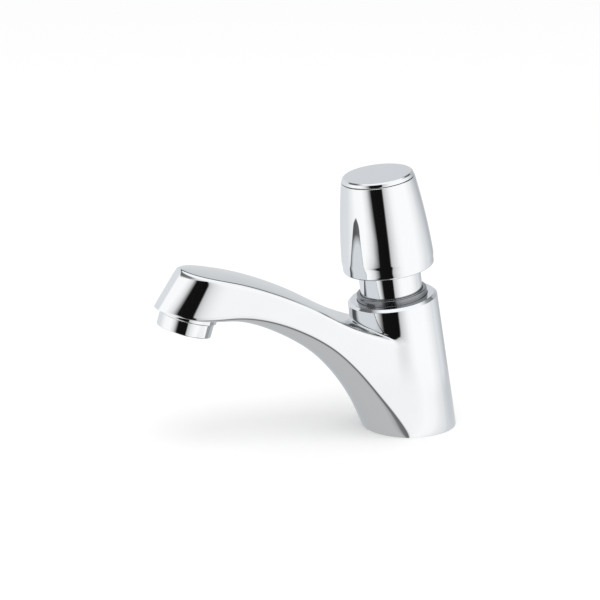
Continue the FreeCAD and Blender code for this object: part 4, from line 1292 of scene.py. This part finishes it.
    def floor(self) -> None:
        """A pale floor that keeps the tap's shadow, and shows metal a glowing white sheet in the dark gap,
        with the tap's shade painted on it.
        """
        clear_selection()
        bpy.ops.mesh.primitive_circle_add(vertices=96, radius=3.0, fill_type="NGON", location=(0, 0, -0.0002))
        floor = bpy.context.object
        floor.name = "studio_floor"
        material = bpy.data.materials.new("pale_studio_floor")
        material.use_nodes = True
        tree = material.node_tree
        tree.nodes.clear()
        place = add_node(tree, "ShaderNodeTexCoord").outputs["Object"]
        shift = {"operation": "SUBTRACT", 1: self.ridge_foot}
        moved = add_node(tree, "ShaderNodeVectorMath", shift, {0: place})
        near = self.seen_light(tree, moved.outputs["Vector"], self.near_sheet_painted_shade)
        length = add_node(tree, "ShaderNodeVectorMath", {"operation": "LENGTH"}, {0: place})
        # Metal sees the white sheet under the tap, glowing and with painted shade, and past its edge the
        # studio round it
        edge = {"From Min": self.sheet_ends[0], "From Max": self.sheet_ends[1]}
        far = add_node(tree, "ShaderNodeMapRange", edge, {"Value": length.outputs["Value"]})
        rays = add_node(tree, "ShaderNodeLightPath")
        sheet = add_node(tree, "ShaderNodeBsdfDiffuse", {"Color": linear("#F7F7F7")})
        own = {"operation": "MULTIPLY", 1: self.lift}
        lift = add_node(tree, "ShaderNodeMath", own, {0: rays.outputs["Is Camera Ray"]})
        white = {"Color": (1, 1, 1, 1)}
        fill = add_node(tree, "ShaderNodeEmission", white, {"Strength": lift.outputs[0]})
        lit = add_node(tree, "ShaderNodeAddShader", links={0: sheet.outputs[0], 1: fill.outputs[0]})
        # For metal the sheet glows, with the tap's shade painted into the glow
        bright = add_node(tree, "ShaderNodeEmission", {"Strength": 1.0}, {"Color": near})
        clear = add_node(tree, "ShaderNodeBsdfTransparent", white)
        parts = {0: far.outputs["Result"], 1: bright.outputs[0], 2: clear.outputs[0]}
        around = add_node(tree, "ShaderNodeMixShader", links=parts)
        sides = {0: rays.outputs["Is Glossy Ray"], 1: lit.outputs[0], 2: around.outputs[0]}
        both = add_node(tree, "ShaderNodeMixShader", links=sides)
        add_node(tree, "ShaderNodeOutputMaterial", links={"Surface": both.outputs[0]})
        floor.data.materials.append(material)

    def lamp(self) -> None:
        """One broad soft lamp above, for the shadow's side."""
        data = bpy.data.lights.new("softbox", "AREA")
        data.shape = "DISK"
        data.size = 0.9
        data.energy = 4.0
        lamp = bpy.data.objects.new("softbox", data)
        lamp.location = (0.5, -0.25, 1.3)
        lamp.rotation_euler = (Vector((0, -0.05, 0)) - lamp.location).to_track_quat("-Z", "Y").to_euler()
        lamp.visible_glossy = False
        lamp.visible_camera = False
        bpy.context.scene.collection.objects.link(lamp)

    def camera(self) -> None:
        """The photograph's viewpoint."""
        data = bpy.data.cameras.new("camera")
        data.lens = self.lens
        data.sensor_width = 36.0
        camera = bpy.data.objects.new("camera", data)
        around, up = math.radians(self.azimuth), math.radians(self.elevation)
        back = Vector((math.sin(around) * math.cos(up), -math.cos(around) * math.cos(up), math.sin(up)))
        camera.location = Vector(self.target) + back * self.distance
        camera.rotation_euler = (-back).to_track_quat("-Z", "Y").to_euler()
        bpy.context.scene.collection.objects.link(camera)
        bpy.context.scene.camera = camera


def dress_nodes(frame: dict) -> None:
    """Give each carried-over node the finish of its slot.
    """
    slots = {row["node"]: row["material_slot"] for row in frame["record"]["subparts"]}
    for node, item in frame["nodes"].items():
        item.data.materials.clear()
        item.data.materials.append(bpy.data.materials[FINISHES[slots[node]].name])


def main() -> None:
    """Build the tap's looks in order, then the studio."""
    logging.basicConfig(level=logging.INFO, format="%(message)s")
    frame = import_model()
    bpy.context.scene.view_settings.view_transform = "Standard"
    for finish in (*FINISHES.values(), DARKER_HAZIER_PLATE):
        finish.make()
    dress_nodes(frame)
    CastBody().build()
    Knob().build()
    Neck().build()
    Outlet().build()
    Tail().build()
    Studio().build()


if __name__ == "__main__":
    main()
